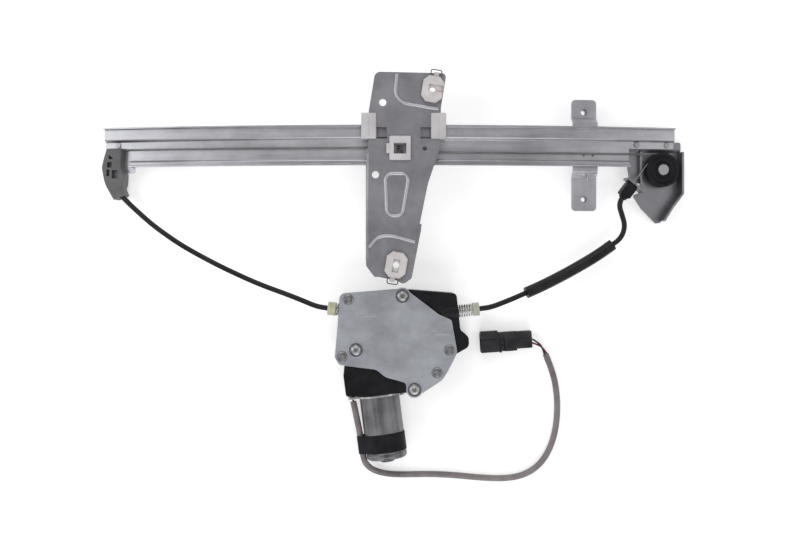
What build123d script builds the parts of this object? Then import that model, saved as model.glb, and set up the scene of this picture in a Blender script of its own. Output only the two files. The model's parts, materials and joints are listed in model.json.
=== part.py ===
from build123d import *
from math import asin, atan2, ceil, cos, degrees, hypot, pi, radians, sin, tan
import os
import copy

# Cable window regulator for a car door, lying on a table with its glass side up.
# X runs along the rail, Y across it and Z up from the table. Millimetres.

# Fits
running_gap = 0.3
seat_gap = 0.3
shaft_fit = 0.05

# Guide rail: folded sheet, bowed along its length like the door glass
rail_left = -288.0
rail_right = 286.0
rail_half_width = 19.8
rail_sheet = 1.4
fold_radius = 0.8
rail_bow_radius = 1700.0
rail_apex_height = 30.4
rail_band_height = 3.0
rail_band_edge = 8.2
rail_step_run = 1.8
rail_upper_lip = 8.0
rail_lower_lip = 6.5
rail_lower_web = -13.8
rail_lower_step = 1.4

# Inner cable and conduit
cable_diameter = 1.5
cable_height = 3.0
conduit_outer = 5.2
conduit_bore = 2.1

# Carrier
carrier_x = 13.0
carrier_sheet = 1.6
carrier_height = 12.0
carrier_flange = 7.0
bead_height = 1.2
bead_radius = 2.2
bead_wall = 1.0
shoe_length = 14.8
shoe_low = 5.1
shoe_high = 30.5
shoe_top = 15.2
shoe_bottom = 0.5
shoe_x = 34.1
slider_size = 21.0
slider_y = -3.9
slider_x = -3.5
slider_wall = 4.4
travel_left = -221.0
travel_right = 183.0
plate_corners = [
    ((-27.9, 70.7), 6.0), ((41.9, 69.2), 4.0), ((36.4, 36.1), 30.0), ((35.2, -5.1), 14.0),
    ((23.8, -38.0), 60.0), ((15.7, -77.8), 0.6), ((17.7, -78.2), 0.6), ((7.8, -131.0), 3.0),
    ((0.0, -137.0), 5.0), ((-7.0, -133.2), 4.0), ((-24.9, -129.7), 2.0), ((-28.2, -130.2), 3.0),
    ((-36.7, -119.0), 5.0), ((-37.0, -72.1), 40.0), ((-36.2, -4.2), 0.8), ((-34.5, -3.6), 0.8),
    ((-34.3, 30.8), 20.0),
]
clip_upper = (28.2, 53.3)
clip_lower = (-7.4, -118.0)
clip_half_width = 10.3
clip_half_height = 12.8
clip_corner_cut = 5.2
clip_lean = -10.0
clip_seat_radius = 6.5
glass_bore = 3.1
plate_top = carrier_height + carrier_sheet
slider_low_y = slider_y - slider_size / 2 - 1.45
slider_high_y = slider_y + slider_size / 2 + 1.45
plate_holes = [((-20.4, 40.6), 3.5), ((-27.5, -29.9), 3.5), ((20.5, -4.4), 2.2)]
plate_flanges = [
    [(-37.0, -20.0), (-37.0, -114.0)], [(23.4, -40.0), (16.4, -74.0)], [(17.3, -82.0), (9.0, -125.0)],
]
plate_windows = [(-26.7, -16.4), (16.4, 26.7)]
window_low = 5.4
window_high = 16.6
nipple_radius = 1.25
clip_rise = 5.0
clip_depth = 4.5
loop_wire = 1.1

# Drive
drum_x = 11.7
drum_y = -190.0
drum_pitch_radius = 20.0
drum_flange_radius = 22.6
drum_low = 25.2
drum_high = 36.4
drum_turns = ceil((travel_right - travel_left) / (2 * pi * drum_pitch_radius))
left_cable_z = 27.8
right_cable_z = 31.8
wheel_teeth = 60
gear_module = 0.84
wheel_width = 8.0
worm_pitch_radius = 5.2
worm_length = 21.0
motor_axis_height = 16.4
motor_tilt = 7.4
housing_floor = 2.5
housing_top = 37.0
cover_sheet = 2.0
left_entry_angle = 7.0
right_entry_angle = 6.5
housing_corners = [
    ((-50.0, -149.5), 5.0), ((8.0, -142.9), 30.0), ((19.5, -142.4), 30.0), ((65.0, -146.0), 4.0),
    ((69.0, -182.5), 8.0), ((77.0, -188.5), 6.0), ((77.5, -198.5), 6.0), ((63.0, -206.5), 8.0),
    ((53.0, -227.0), 8.0), ((29.5, -242.6), 6.0), ((15.6, -243.9), 6.0), ((-43.5, -247.9), 3.0),
    ((-46.2, -227.0), 10.0), ((-45.0, -215.0), 3.0), ((-53.2, -210.0), 4.0), ((-51.4, -180.0), 30.0),
]
cover_corners = [
    ((-49.6, -145.9), 6.0), ((7.0, -141.4), 10.0), ((18.4, -144.2), 8.0), ((47.5, -166.4), 8.0),
    ((60.2, -172.0), 4.0), ((65.8, -204.0), 6.0), ((56.5, -222.5), 10.0), ((51.0, -231.0), 6.0),
    ((30.7, -244.4), 6.0), ((17.2, -241.7), 4.0), ((14.6, -233.6), 4.0), ((-5.2, -228.0), 12.0),
    ((-13.7, -220.8), 10.0), ((-50.2, -216.2), 6.0), ((-54.6, -208.6), 5.0), ((-52.0, -180.0), 40.0),
]
screw_places = [(11.9, -148.4), (-33.7, -201.3), (23.7, -240.2)]
rivet_places = [(-41.1, -151.9), (-47.2, -208.1), (58.0, -201.4), (45.8, -223.8)]
screw_lobe = 8.2
screw_shank = 2.5
screw_head = 4.5
screw_flange = 5.4
screw_socket = 2.4
screw_dimple = 6.8
screw_seat_depth = 1.2
dimple_rim = 0.5
rivet_shank = 2.0
rivet_head = 3.8
rivet_dimple = 5.3
rivet_seat_depth = 0.7
pad_height = 0.5
cover_top = housing_top + cover_sheet
drum_cavity = drum_flange_radius + 1.2
wheel_cavity = wheel_teeth * gear_module / 2 + gear_module + 1.0
shaft_bore = 6.0
ferrule_radius = 6.7
spring_pocket = 6.5
pocket_wall = 1.5
spring_wire = 1.0
spring_pitch = 1.75
entry = {
    -1: {"pocket": 56.0, "cap": 68.6, "cap_length": 8.2},
    1: {"pocket": 54.0, "cap": 72.6, "cap_length": 6.2},
}
pocket_boss_start = 46.0
cap_shoulder = 2.0
lead_port_x = -55.0
lead_port_y = 26.6
lead_port_radius = 2.6
motor_screw_shank = 1.5
motor_screw_head = 2.4
damper_radius = 18.0

# Motor
can_width = 40.0
can_thickness = 31.0
can_wall = 1.6
can_start = -55.6
can_length = 59.7
can_edge_radius = 4.0
flange_sheet = 2.0
flange_rim = 0.6
flange_opening = 8.0
ear_reach = -23.0
ear_radius = 3.8
boss_length = 6.6
boss_radius = 7.4
boss_wall = 1.2
shaft_radius = 2.0
core_radius = 11.0
core_slots = 10
winding_radius = 9.4
winding_length = 5.0
winding_end_room = 3.7
winding_gap = 0.5
commutator_radius = 4.6
commutator_length = 9.0
holder_gap = 0.6
holder_floor = 1.8
holder_inset = 2.5
brush_length = 6.0
can_end = can_start - can_length
holder_x = can_start - holder_inset - holder_floor
commutator_x = holder_x - holder_gap - commutator_length
core_end = commutator_x - winding_gap - winding_length
core_start = can_end + can_wall + winding_end_room + winding_length

# Ends of the rail
guide_x = -266.2
guide_radius = 21.0
guide_exit = 225.0
pulley_x = 273.1
pulley_y = -22.2
pulley_pitch_radius = 15.5
pulley_radius = 17.2
pulley_width = 7.0
pin_radius = 3.0
stop_angle = 232.0
guide_cut_x = guide_x + 4.0
bracket_cut_x = 239.0
end_cut_y = -1.0

# Motor lead
lead_diameter = 6.3
wire_diameter = 1.9
lead_start = -58.0
connector_place = (116.6, -194.9)
connector_turn = -2.5
connector_length = 52.0
connector_width = 19.5
connector_height = 14.5

# Mounting strap across the back of the rail
strap_x = 195.0
strap_width = 25.5
strap_sheet = 1.8
strap_high = 48.0
strap_low = -63.7
strap_joggle = 5.0
strap_hole_high = 35.4
strap_hole_low = -52.0
strap_hole_radius = 3.2
nut_bore = 2.5
nut_height = 5.0
nut_flats = 9.0

# Left cable guide
left_cable_y = -2.2
right_cable_y = pulley_y + pulley_pitch_radius
guide_y = left_cable_y - guide_radius
guide_bottom = -5.2
guide_top = 8.0
guide_corners = [
    ((-18.2, -0.4), 1.5), ((-2.8, -0.4), 1.0), ((-3.3, -19.8), 3.0), ((-0.6, -27.0), 3.0),
    ((-1.2, -37.0), 2.0), ((-2.8, -41.0), 2.0), ((0.0, -47.5), 0.8), ((-1.6, -49.4), 1.5),
    ((-6.6, -49.6), 2.0), ((-10.6, -53.2), 1.5), ((-20.7, -36.0), 30.0), ((-23.8, -19.8), 8.0),
    ((-21.5, -10.6), 2.0),
]
guide_pockets = [
    (-17.9, -12.6, -20.0, -14.5), (-18.6, -15.3, -28.6, -22.0), (-13.0, -6.6, -31.0, -22.6),
]
guide_pocket_floor = 4.6
guide_socket = 12.0

# Right end bracket, pulley and conduit stop
bracket_sheet = 2.0
bracket_top = -2.9
bracket_land_half = 34.0
bracket_wall = 8.0
bracket_rivet_x = (-26.0, 6.0)
bracket_rivet_y = 2.7
bracket_corners = [
    ((-34.0, 6.2), 2.0), ((21.6, 6.2), 2.0), ((21.6, -46.5), 4.0), ((10.8, -60.0), 4.0), ((0.6, -75.4), 2.0),
    ((-4.0, -76.0), 2.0), ((-19.1, -61.5), 2.0), ((-28.6, -47.6), 2.0), ((-20.5, -45.0), 1.0),
    ((-20.5, -35.2), 1.5), ((-30.0, -36.2), 1.5), ((-32.6, -28.0), 3.0), ((-34.0, -18.0), 4.0),
]
stop_wall_distance = 31.5
stop_length = 14.0
stop_width = 11.5
stop_socket = 7.5

# Tape round the motor can and its lead
tape_start = can_end + 2.7
tape_length = 18.2
tape_thickness = 0.55
lead_side = 23.9

# Cables and conduits
drum_lead_gap = 12.6

# Values that follow from those above
bow_centre_z = rail_apex_height - rail_bow_radius
worm_centre_distance = wheel_teeth * gear_module / 2 + worm_pitch_radius
wheel_low = motor_axis_height - wheel_width / 2
wheel_high = motor_axis_height + wheel_width / 2


def rail_angle(x):
    return degrees(asin(x / rail_bow_radius))


def on_rail(x, y=0.0):
    """Place of the flat frame that touches the rail's back face at x."""
    return Pos(0, y, bow_centre_z) * Rot(0, rail_angle(x), 0) * Pos(0, 0, rail_bow_radius)


def bow_drop(half_length):
    """How far the bowed rail falls away from a flat face of this half length."""
    return half_length ** 2 / (2 * rail_bow_radius) + 0.02


def bowed(section, start_x, end_x):
    """Turn a section (Y across, Z up from the rail's back face) about the bow's axis."""
    start = on_rail(start_x) * (Plane.YZ * section)
    turn = rail_angle(end_x) - rail_angle(start_x)
    return revolve(start, Axis((0, 0, bow_centre_z), (0, 1, 0)), revolution_arc=turn)


def rounded(points, radii):
    """Face inside a closed run of points, each corner with its own radius."""
    if not isinstance(radii, (list, tuple)):
        radii = [radii] * len(points)
    return make_face(FilletPolyline(*points, radius=radii, close=True))


def round_cornered(x0, x1, y0, y1, radius):
    """Rectangle between these limits, with rounded corners."""
    return rounded([(x0, y0), (x1, y0), (x1, y1), (x0, y1)], radius)


def sheet_section(points, thickness, inner_radius):
    """Section of folded sheet: the points run along one face, the sheet lies to their right."""
    heads = []
    for (x0, y0), (x1, y1) in zip(points, points[1:]):
        run = hypot(x1 - x0, y1 - y0)
        heads.append(((x1 - x0) / run, (y1 - y0) / run))
    shifted = []
    near = []
    far = []
    for i, (x, y) in enumerate(points):
        before = heads[max(i - 1, 0)]
        after = heads[min(i, len(heads) - 1)]
        mitre_x = before[1] + after[1]
        mitre_y = -before[0] - after[0]
        scale = thickness * 2 / (mitre_x ** 2 + mitre_y ** 2)
        shifted.append((x + mitre_x * scale, y + mitre_y * scale))
        if 0 < i < len(points) - 1:
            right_turn = before[0] * after[1] - before[1] * after[0] < 0
            near.append(inner_radius + (thickness if right_turn else 0))
            far.append(inner_radius + (0 if right_turn else thickness))
    face_line = FilletPolyline(*points, radius=near)
    back_line = FilletPolyline(*shifted, radius=far)
    ends = Line(points[0], shifted[0]) + Line(points[-1], shifted[-1])
    return make_face(face_line + back_line + ends)


def block(x0, x1, y0, y1, z0, z1):
    return Pos((x0 + x1) / 2, (y0 + y1) / 2, (z0 + z1) / 2) * Box(x1 - x0, y1 - y0, z1 - z0)


def post(x, y, radius, z0, z1):
    return Pos(x, y, (z0 + z1) / 2) * Cylinder(radius, z1 - z0)


def slab(face, z0, z1):
    return extrude(Pos(0, 0, z0) * face, amount=z1 - z0)


def corner_radii(points):
    """Radius for each corner of a run of points, as large as its two straight runs allow."""
    spots = [Vector(*p) for p in points]
    radii = []
    for a, b, c in zip(spots, spots[1:], spots[2:]):
        turn = radians((b - a).get_angle(c - b))
        radii.append(0.45 * min((b - a).length, (c - b).length) / tan(turn / 2))
    return radii


def swept(path, radius, bore=0.0):
    start = Plane(origin=path @ 0, z_dir=path % 0)
    face = start * Circle(radius)
    if bore:
        face -= start * Circle(bore)
    return sweep(face, path=path)


def wire_tube(points, diameter, label):
    """Solid wire or sheath along its points, with its length and a volume test printed."""
    radii = corner_radii(points)
    path = FilletPolyline(*points, radius=radii)
    solid = swept(path, diameter / 2)
    expected = pi * diameter ** 2 / 4 * path.length
    print(label, "length", round(path.length, 1), "smallest radius", round(min(radii), 1),
          "volume ratio", round(solid.volume / expected, 4))
    return solid


def bead(points, radius, z_top, closed=False):
    """Hollow bead pressed up out of a sheet whose top face is at z_top."""
    line = FilletPolyline(*[(x, y, z_top + bead_height - bead_radius) for x, y in points],
                          radius=radius, close=closed)
    start = Plane(origin=line @ 0, z_dir=line % 0)
    outer = sweep(start * Circle(bead_radius), path=line)
    inner = sweep(start * Circle(bead_radius - bead_wall), path=line)
    reach = 400
    return outer - block(-reach, reach, -reach, reach, z_top - 30, z_top - carrier_sheet), inner


# Guide rail

def rail_section():
    return sheet_section([
        (rail_half_width, rail_upper_lip),
        (rail_half_width, rail_band_height),
        (rail_band_edge, rail_band_height),
        (rail_band_edge - rail_step_run, 0),
        (rail_lower_web, 0),
        (rail_lower_web - rail_lower_step, rail_lower_step),
        (-rail_half_width, rail_lower_step),
        (-rail_half_width, rail_lower_lip),
    ], rail_sheet, fold_radius)


def guide_rail():
    rail = bowed(rail_section(), rail_left, rail_right)
    deep = 30
    rail -= on_rail(guide_x) * block(-60, guide_cut_x - guide_x, -40, end_cut_y, -deep, deep)
    rail -= on_rail(pulley_x) * block(bracket_cut_x - pulley_x, 60, -40, end_cut_y, -deep, deep)
    rail -= on_rail(guide_x) * post(-8.5, 2.7, 1.6, -5, 5)
    for x in bracket_rivet_x:
        rail -= on_rail(pulley_x) * post(x, bracket_rivet_y, 1.6, -5, 5)
    return rail


# Mounting strap across the back of the rail

def mount_strap():
    seat = -bow_drop(strap_width / 2)
    section = sheet_section([
        (strap_low, -strap_joggle),
        (-30.0, -strap_joggle),
        (-24.6, seat),
        (24.6, seat),
        (30.0, -strap_joggle),
        (strap_high, -strap_joggle),
    ], strap_sheet, fold_radius)
    half = strap_width / 2
    strap = extrude(Plane.YZ * section, amount=half, both=True)
    corners = rounded([(-half, strap_low), (half, strap_low), (half, strap_high), (-half, strap_high)], 4.0)
    strap &= slab(corners, -30, 10)
    for y in (strap_hole_high, strap_hole_low):
        strap -= post(0, y, strap_hole_radius, -30, 10)
    rib_y = -27.5
    rib = Pos(0, rib_y, -strap_joggle) * Rot(0, 90, 0) * Cylinder(2.2, 4.0)
    strap += rib & block(-2, 2, rib_y - 4, rib_y + 4, -strap_joggle - strap_sheet / 2, 0)
    return on_rail(strap_x) * strap


def strap_nuts():
    nuts = []
    top = -strap_joggle - strap_sheet
    for y in (strap_hole_high, strap_hole_low):
        hexagon = RegularPolygon(nut_flats / 2, 6, major_radius=False)
        nut = slab(hexagon, top - nut_height, top) + post(0, 0, nut_flats / 2 + 1.6, top - 1.2, top)
        nuts.append(on_rail(strap_x) * Pos(0, y, 0) * (nut - post(0, 0, nut_bore, top - 9, top + 1)))
    return nuts


# Carrier plate with its shoes, slider and glass clips

def carrier_plate():
    outline = rounded([p for p, r in plate_corners], [r for p, r in plate_corners])
    plate = slab(outline, carrier_height, plate_top)
    # edge flanges turned down along both sides below the rail
    for points in plate_flanges:
        (x0, y0), (x1, y1) = points
        run = hypot(x1 - x0, y1 - y0)
        turn = degrees(atan2(y1 - y0, x1 - x0))
        side = carrier_sheet / 2 if x0 < 0 else -carrier_sheet / 2
        flange = Pos(run / 2, side, 0) * Box(run, carrier_sheet, carrier_flange)
        plate += Pos(x0, y0, plate_top - carrier_flange / 2) * Rot(0, 0, turn) * flange
    beads = [
        bead([(-6.4, 68.6), (-9.2, 41.4), (34.0, 34.2)], 14.0, plate_top),
        bead([(-34.0, -101.0), (-25.0, -90.2), (-12.5, -89.2), (11.2, -95.6)], [14.0, 32.0], plate_top),
        bead([(5.5, -28.6), (-1.4, -70.0), (-16.4, -70.0), (-18.0, -28.6)], 6.8, plate_top, True),
    ]
    for outer, inner in beads:
        plate += outer
    for outer, inner in beads:
        plate -= inner
    for (x, y), radius in plate_holes:
        plate -= post(x, y, radius, 0, 20)
    for x0, x1 in plate_windows:
        plate -= block(x0, x1, window_low, window_high, 0, 20)
    half = slider_size / 2 - 1.5
    plate -= block(slider_x - half, slider_x + half, slider_low_y + 2.9, slider_high_y - 2.9, 0, 20)
    for x, y in (clip_upper, clip_lower):
        plate -= post(x, y, clip_seat_radius + shaft_fit, 0, 20)
    return plate


def rail_space():
    """Room that the rail and a running gap take, in the carrier's frame."""
    grown = offset(rail_section(), running_gap, kind=Kind.INTERSECTION)
    return on_rail(carrier_x).inverse() * bowed(grown, carrier_x - 60, carrier_x + 60)


def shoe(side, plate, rail):
    x = side * shoe_x
    half = shoe_length / 2
    face = round_cornered(x - half, x + half, shoe_low, shoe_high, 1.2)
    body = slab(face, shoe_bottom, shoe_top)
    body = chamfer(body.faces().sort_by(Axis.Z)[-1].edges(), 0.8)
    body -= Pos(x, 0, 0) * block(-half - 1, half + 1, 0, 12.0, shoe_bottom - 1, rail_band_height + 0.2)
    body -= rail
    body -= plate
    groove = block(x - 0.6, x + 0.6, shoe_low + 3, shoe_high - 3, shoe_top - 0.8, shoe_top + 1)
    return largest(body - groove)


def largest(shape):
    return sorted(shape.solids(), key=lambda s: s.volume)[-1]


def centre_slider(plate, rail):
    half = slider_size / 2
    low = slider_low_y
    high = slider_high_y
    face = round_cornered(slider_x - half, slider_x + half, low, high, 1.5)
    body = slab(face, rail_sheet + running_gap, plate_top + 2.2)
    body = chamfer(body.faces().sort_by(Axis.Z)[-1].edges(), 0.7)
    inner_x = half - slider_wall
    body -= block(slider_x - inner_x, slider_x + inner_x, low + 6.4, high - 7.0, 4.6, 20)
    body += block(slider_x - half - 2.9, slider_x - half + 1, -9.0, 0.6, plate_top, plate_top + 1.4)
    rim = plate & slab(face, 0, 20)
    body -= rim
    # the rail's upper step passes beside the slider, and both cables enter through slots
    body -= block(-40, 40, rail_band_edge - rail_step_run - 1.4, 40, 0, plate_top - 3.0)
    body -= rail
    slots = [(left_cable_y, slider_x - half - 1, slider_x), (right_cable_y, slider_x, slider_x + half + 1)]
    for y, x0, x1 in slots:
        body -= block(x0, x1, y - 1.1, y + 1.1, 0, cable_height + 1.2)
    for y in (left_cable_y, right_cable_y):
        body -= block(slider_x - 3.4, slider_x + 3.4, y - 2.0, y + 2.0, 0, cable_height + 1.9)
    return largest(body)


def cable_nipples():
    nipples = []
    for y, x in ((left_cable_y, slider_x - 1.5), (right_cable_y, slider_x + 1.5)):
        nipples.append(Pos(x, y, cable_height) * Rot(0, 90, 0) * Cylinder(nipple_radius, 3.2))
    return nipples


def octagon(half_width, half_height, cut):
    w, h = half_width, half_height
    corners = [(w, h - cut), (w - cut, h), (cut - w, h), (-w, h - cut),
               (-w, cut - h), (cut - w, -h), (w - cut, -h), (w, cut - h)]
    return rounded(corners, 1.0)


def glass_clip(centre, flip):
    body = slab(octagon(clip_half_width, clip_half_height, clip_corner_cut), plate_top, plate_top + clip_rise)
    body = chamfer(body.faces().sort_by(Axis.Z)[-1].edges(), 1.0)
    body += post(0, 0, clip_seat_radius, carrier_height - clip_depth, plate_top + 0.5)
    body -= post(0, 0, glass_bore, 0, 30)
    recess = block(-3.9, 9.5, -2.0, 4.2, plate_top + clip_rise - 1.6, 30)
    if flip:
        recess = Rot(0, 0, 90) * block(-5.4, 7.4, -3.2, 3.2, plate_top + clip_rise - 1.6, 30)
    body -= recess
    body += block(-1.2, 3.8, clip_half_height - 1, clip_half_height + 4.2, plate_top, plate_top + 2.0)
    return Pos(*centre, 0) * Rot(0, 0, clip_lean + (180 if flip else 0)) * body


def clip_loop(centre, flip):
    z = plate_top + loop_wire / 2 + 2.0 + seat_gap
    low = clip_half_height - 0.4
    high = clip_half_height + 6.2
    line = FilletPolyline((-4.4, low, z), (-4.4, high, z), (6.0, high, z), (6.0, low, z), radius=1.8)
    loop = sweep(Plane(origin=line @ 0, z_dir=line % 0) * Circle(loop_wire / 2), path=line)
    loop -= slab(octagon(clip_half_width + shaft_fit, clip_half_height + shaft_fit, clip_corner_cut), 0, 30)
    return Pos(*centre, 0) * Rot(0, 0, clip_lean + (180 if flip else 0)) * loop


# Left cable guide

def guide_arc(radius, z, angle_from=90.0, angle_to=guide_exit):
    return Pos(0, guide_y, z) * CenterArc((0, 0), radius, angle_from, angle_to - angle_from)


def guide_point(distance, z=cable_height):
    """Point on the straight line where the cable leaves the guide's arc."""
    a = radians(guide_exit)
    return (guide_radius * cos(a) - distance * sin(a), guide_y + guide_radius * sin(a) + distance * cos(a), z)


def left_guide():
    face = rounded([p for p, r in guide_corners], [r for p, r in guide_corners])
    body = slab(face, guide_bottom, guide_top)
    body = chamfer(body.faces().sort_by(Axis.Z)[-1].edges(), 0.5)
    lug = rounded([(-18.0, -4.0), (-2.6, -4.0), (-3.5, 5.4), (-13.5, 6.0)], 2.0)
    body -= block(-30, 5, end_cut_y - 0.1, 5, -0.1, 20)
    body += slab(lug, guide_bottom + 1.0, -seat_gap)
    body -= post(-8.5, 2.7, 1.6, -20, 5)
    exit_line = Line(guide_point(0), guide_point(guide_socket + 1))
    groove = Wire([guide_arc(guide_radius, cable_height), exit_line])
    section = Plane(origin=groove @ 0, z_dir=groove % 0) * Circle(cable_diameter / 2 + running_gap)
    body -= sweep(section, path=groove)
    body -= block(-1, 10, left_cable_y - 1.1, left_cable_y + 1.1, cable_height - 1.1, 20)
    for x0, x1, y0, y1 in guide_pockets:
        body -= block(x0, x1, y0, y1, guide_pocket_floor, 20)
    body -= slab(rounded([(-16.6, -7.0), (-15.8, -11.6), (-10.6, -11.4)], 0.5), guide_pocket_floor, 20)
    mouth = Plane(origin=guide_point(guide_socket), z_dir=exit_line % 0)
    body -= extrude(mouth * Circle(conduit_outer / 2 + shaft_fit), amount=40)
    return on_rail(guide_x) * largest(body)


def guide_rivet():
    rivet = post(-8.5, 2.7, 1.55, guide_bottom + 1.0, rail_sheet)
    rivet += post(-8.5, 2.7, 2.6, rail_sheet, rail_sheet + 0.9)
    rivet += post(-8.5, 2.7, 2.6, guide_bottom + 0.2, guide_bottom + 1.0)
    return on_rail(guide_x) * rivet


# Right end bracket, pulley and conduit stop

def cable_off_pulley(distance, z=cable_height):
    """Point on the straight line where the cable leaves the pulley for its stop."""
    a = radians(stop_angle)
    x = -pulley_pitch_radius * cos(a + pi / 2) + distance * cos(a)
    y = pulley_y - pulley_pitch_radius * sin(a + pi / 2) + distance * sin(a)
    return (x, y, z)


def stop_frame():
    """Frame on the cable's line off the pulley, its x running out along the cable."""
    x, y = cable_off_pulley(0)[:2]
    return Pos(x, y, 0) * Rot(0, 0, stop_angle)


def end_bracket():
    land = -bow_drop(bracket_land_half)
    section = sheet_section([
        (-90.0, bracket_top), (-4.4, bracket_top), (-1.4, land), (20.0, land),
    ], bracket_sheet, fold_radius)
    face = rounded([p for p, r in bracket_corners], [r for p, r in bracket_corners])
    body = extrude(Plane.YZ * section, amount=60, both=True)
    body &= slab(face, -20, 20)
    wall = sheet_section([(21.6, -4.0), (21.6, -46.5), (10.8, -60.0), (1.6, -74.0)], bracket_sheet, 2.0)
    body += slab(wall, bracket_top - bracket_sheet / 2, bracket_wall)
    rib = sheet_section([(-20.5, -4.0), (-20.5, -31.0), (-16.6, -43.0)], bracket_sheet, 2.0)
    body += slab(rib, bracket_top - bracket_sheet / 2, cable_height - cable_diameter / 2 - 0.6)
    tab = block(stop_wall_distance - bracket_sheet, stop_wall_distance, -9.0, 13.0,
                bracket_top - 1, bracket_wall + 1)
    body += stop_frame() * tab
    notch = block(stop_wall_distance - 5, stop_wall_distance + 5, -1.2, 1.2, cable_height - 1.2, 30)
    body -= stop_frame() * notch
    for x in bracket_rivet_x:
        body -= post(x, bracket_rivet_y, 1.6, -20, 20)
    body -= post(0, pulley_y, pin_radius, -20, 20)
    return on_rail(pulley_x) * body


def bracket_rivets():
    rivets = []
    for x in bracket_rivet_x:
        back = -bow_drop(bracket_land_half) - bracket_sheet
        rivet = post(x, bracket_rivet_y, 1.55, back, rail_sheet)
        rivet += post(x, bracket_rivet_y, 2.6, rail_sheet, rail_sheet + 0.9)
        rivet += post(x, bracket_rivet_y, 2.6, back - 0.9, back)
        rivets.append(on_rail(pulley_x) * rivet)
    return rivets


def pulley_pin():
    low = cable_height - pulley_width / 2 - running_gap
    high = cable_height + pulley_width / 2 + running_gap
    pin = post(0, pulley_y, pin_radius, bracket_top - bracket_sheet - 0.6, high + 1.2)
    pin += post(0, pulley_y, 5.4, bracket_top, low)
    pin += post(0, pulley_y, 4.4, bracket_top - bracket_sheet - 1.0, bracket_top - bracket_sheet)
    pin += chamfer(post(0, pulley_y, 5.5, high, high + 1.6).faces().sort_by(Axis.Z)[-1].edges(), 0.6)
    return on_rail(pulley_x) * pin


def pulley():
    half = pulley_width / 2
    bottom = pulley_pitch_radius - cable_diameter / 2 - running_gap
    lip = 1.2
    wall = make_face(Polyline(
        (pin_radius + 2.0, -half), (pulley_radius, -half), (pulley_radius, -half + lip), (bottom, -0.9),
        (bottom, 0.9), (pulley_radius, half - lip), (pulley_radius, half), (pulley_radius - 3.0, half),
        (pulley_radius - 4.2, half - 1.6), (8.4, half - 1.6), (7.4, half), (pin_radius + 2.0, half),
        close=True))
    wheel = revolve(Plane.XZ * wall, Axis.Z)
    return on_rail(pulley_x) * Pos(0, pulley_y, cable_height) * wheel


def pulley_bush():
    half = pulley_width / 2
    ring = Cylinder(pin_radius + 2.0, 2 * half) - Cylinder(pin_radius + shaft_fit, 3 * half)
    return on_rail(pulley_x) * Pos(0, pulley_y, cable_height) * ring


def conduit_stop():
    length = stop_length
    x0 = stop_wall_distance + seat_gap
    face = rounded([(x0, -stop_width / 2), (x0 + length, -stop_width / 2), (x0 + length, stop_width / 2),
                    (x0, stop_width / 2)], 1.5)
    body = slab(face, bracket_top, cable_height + 5.0)
    body = chamfer(body.faces().sort_by(Axis.Z)[-1].edges(), 0.8)
    ring = Pos(x0 + length + 1.2, 0, cable_height) * Rot(0, 90, 0) * Cylinder(4.3, 2.4)
    body += ring
    axis = Pos(x0, 0, cable_height) * Rot(0, 90, 0)
    body -= axis * Cylinder(cable_diameter / 2 + running_gap, 60)
    socket = Rot(0, 90, 0) * Cylinder(conduit_outer / 2 + shaft_fit, 60)
    body -= Pos(x0 + stop_socket + 30, 0, cable_height) * socket
    return on_rail(pulley_x) * stop_frame() * body


# Drive: housing, cover, gears, drum

def motor_frame():
    turn = radians(90 + motor_tilt)
    x = drum_x - worm_centre_distance * sin(turn)
    y = drum_y + worm_centre_distance * cos(turn)
    return Pos(x, y, motor_axis_height) * Rot(0, 0, degrees(turn))


def along_motor(x0, x1, radius):
    return motor_frame() * Pos((x0 + x1) / 2, 0, 0) * Rot(0, 90, 0) * Cylinder(radius, x1 - x0)


def can_section(inset):
    flat = (can_width - can_thickness) / 2
    radius = can_thickness / 2 - inset
    return SlotCenterToCenter(2 * flat, 2 * radius)


def along_can(face, x0, x1):
    """Extrude a face drawn across the motor axis (its x along the can's width)."""
    across = motor_frame() * Plane(origin=(x0, 0, 0), x_dir=(0, 1, 0), z_dir=(1, 0, 0)).location
    return extrude(across * face, amount=x1 - x0)


def cable_entry(side, distance):
    """Point on the straight cable line that touches the drum, and its outward direction."""
    angle = radians(left_entry_angle if side < 0 else right_entry_angle)
    x = drum_x - side * drum_pitch_radius * sin(angle) + side * distance * cos(angle)
    y = drum_y + drum_pitch_radius * cos(angle) + distance * sin(angle)
    return (x, y, left_cable_z if side < 0 else right_cable_z)


def entry_plane(side, distance):
    a = Vector(*cable_entry(side, distance))
    b = Vector(*cable_entry(side, distance + 1))
    return Plane(origin=a, z_dir=b - a)


def housing_face():
    return rounded([p for p, r in housing_corners], [r for p, r in housing_corners])


def cover_face():
    face = rounded([p for p, r in cover_corners], [r for p, r in cover_corners])
    for x, y in (screw_places[0], screw_places[2]):
        face += Pos(x, y) * Circle(screw_lobe)
    return face


def pocket_boss():
    """Round wall over the right spring pocket, which stands above the housing beside the cover."""
    plane = entry_plane(1, pocket_boss_start)
    radius = spring_pocket + pocket_wall
    boss = extrude(plane * Circle(radius), amount=40)
    boss += Pos(*cable_entry(1, pocket_boss_start)) * Sphere(radius)
    boss &= slab(housing_face(), wheel_high, right_cable_z + radius + 1)
    return boss - slab(offset(cover_face(), seat_gap), housing_top, right_cable_z + radius + 2)


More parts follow.
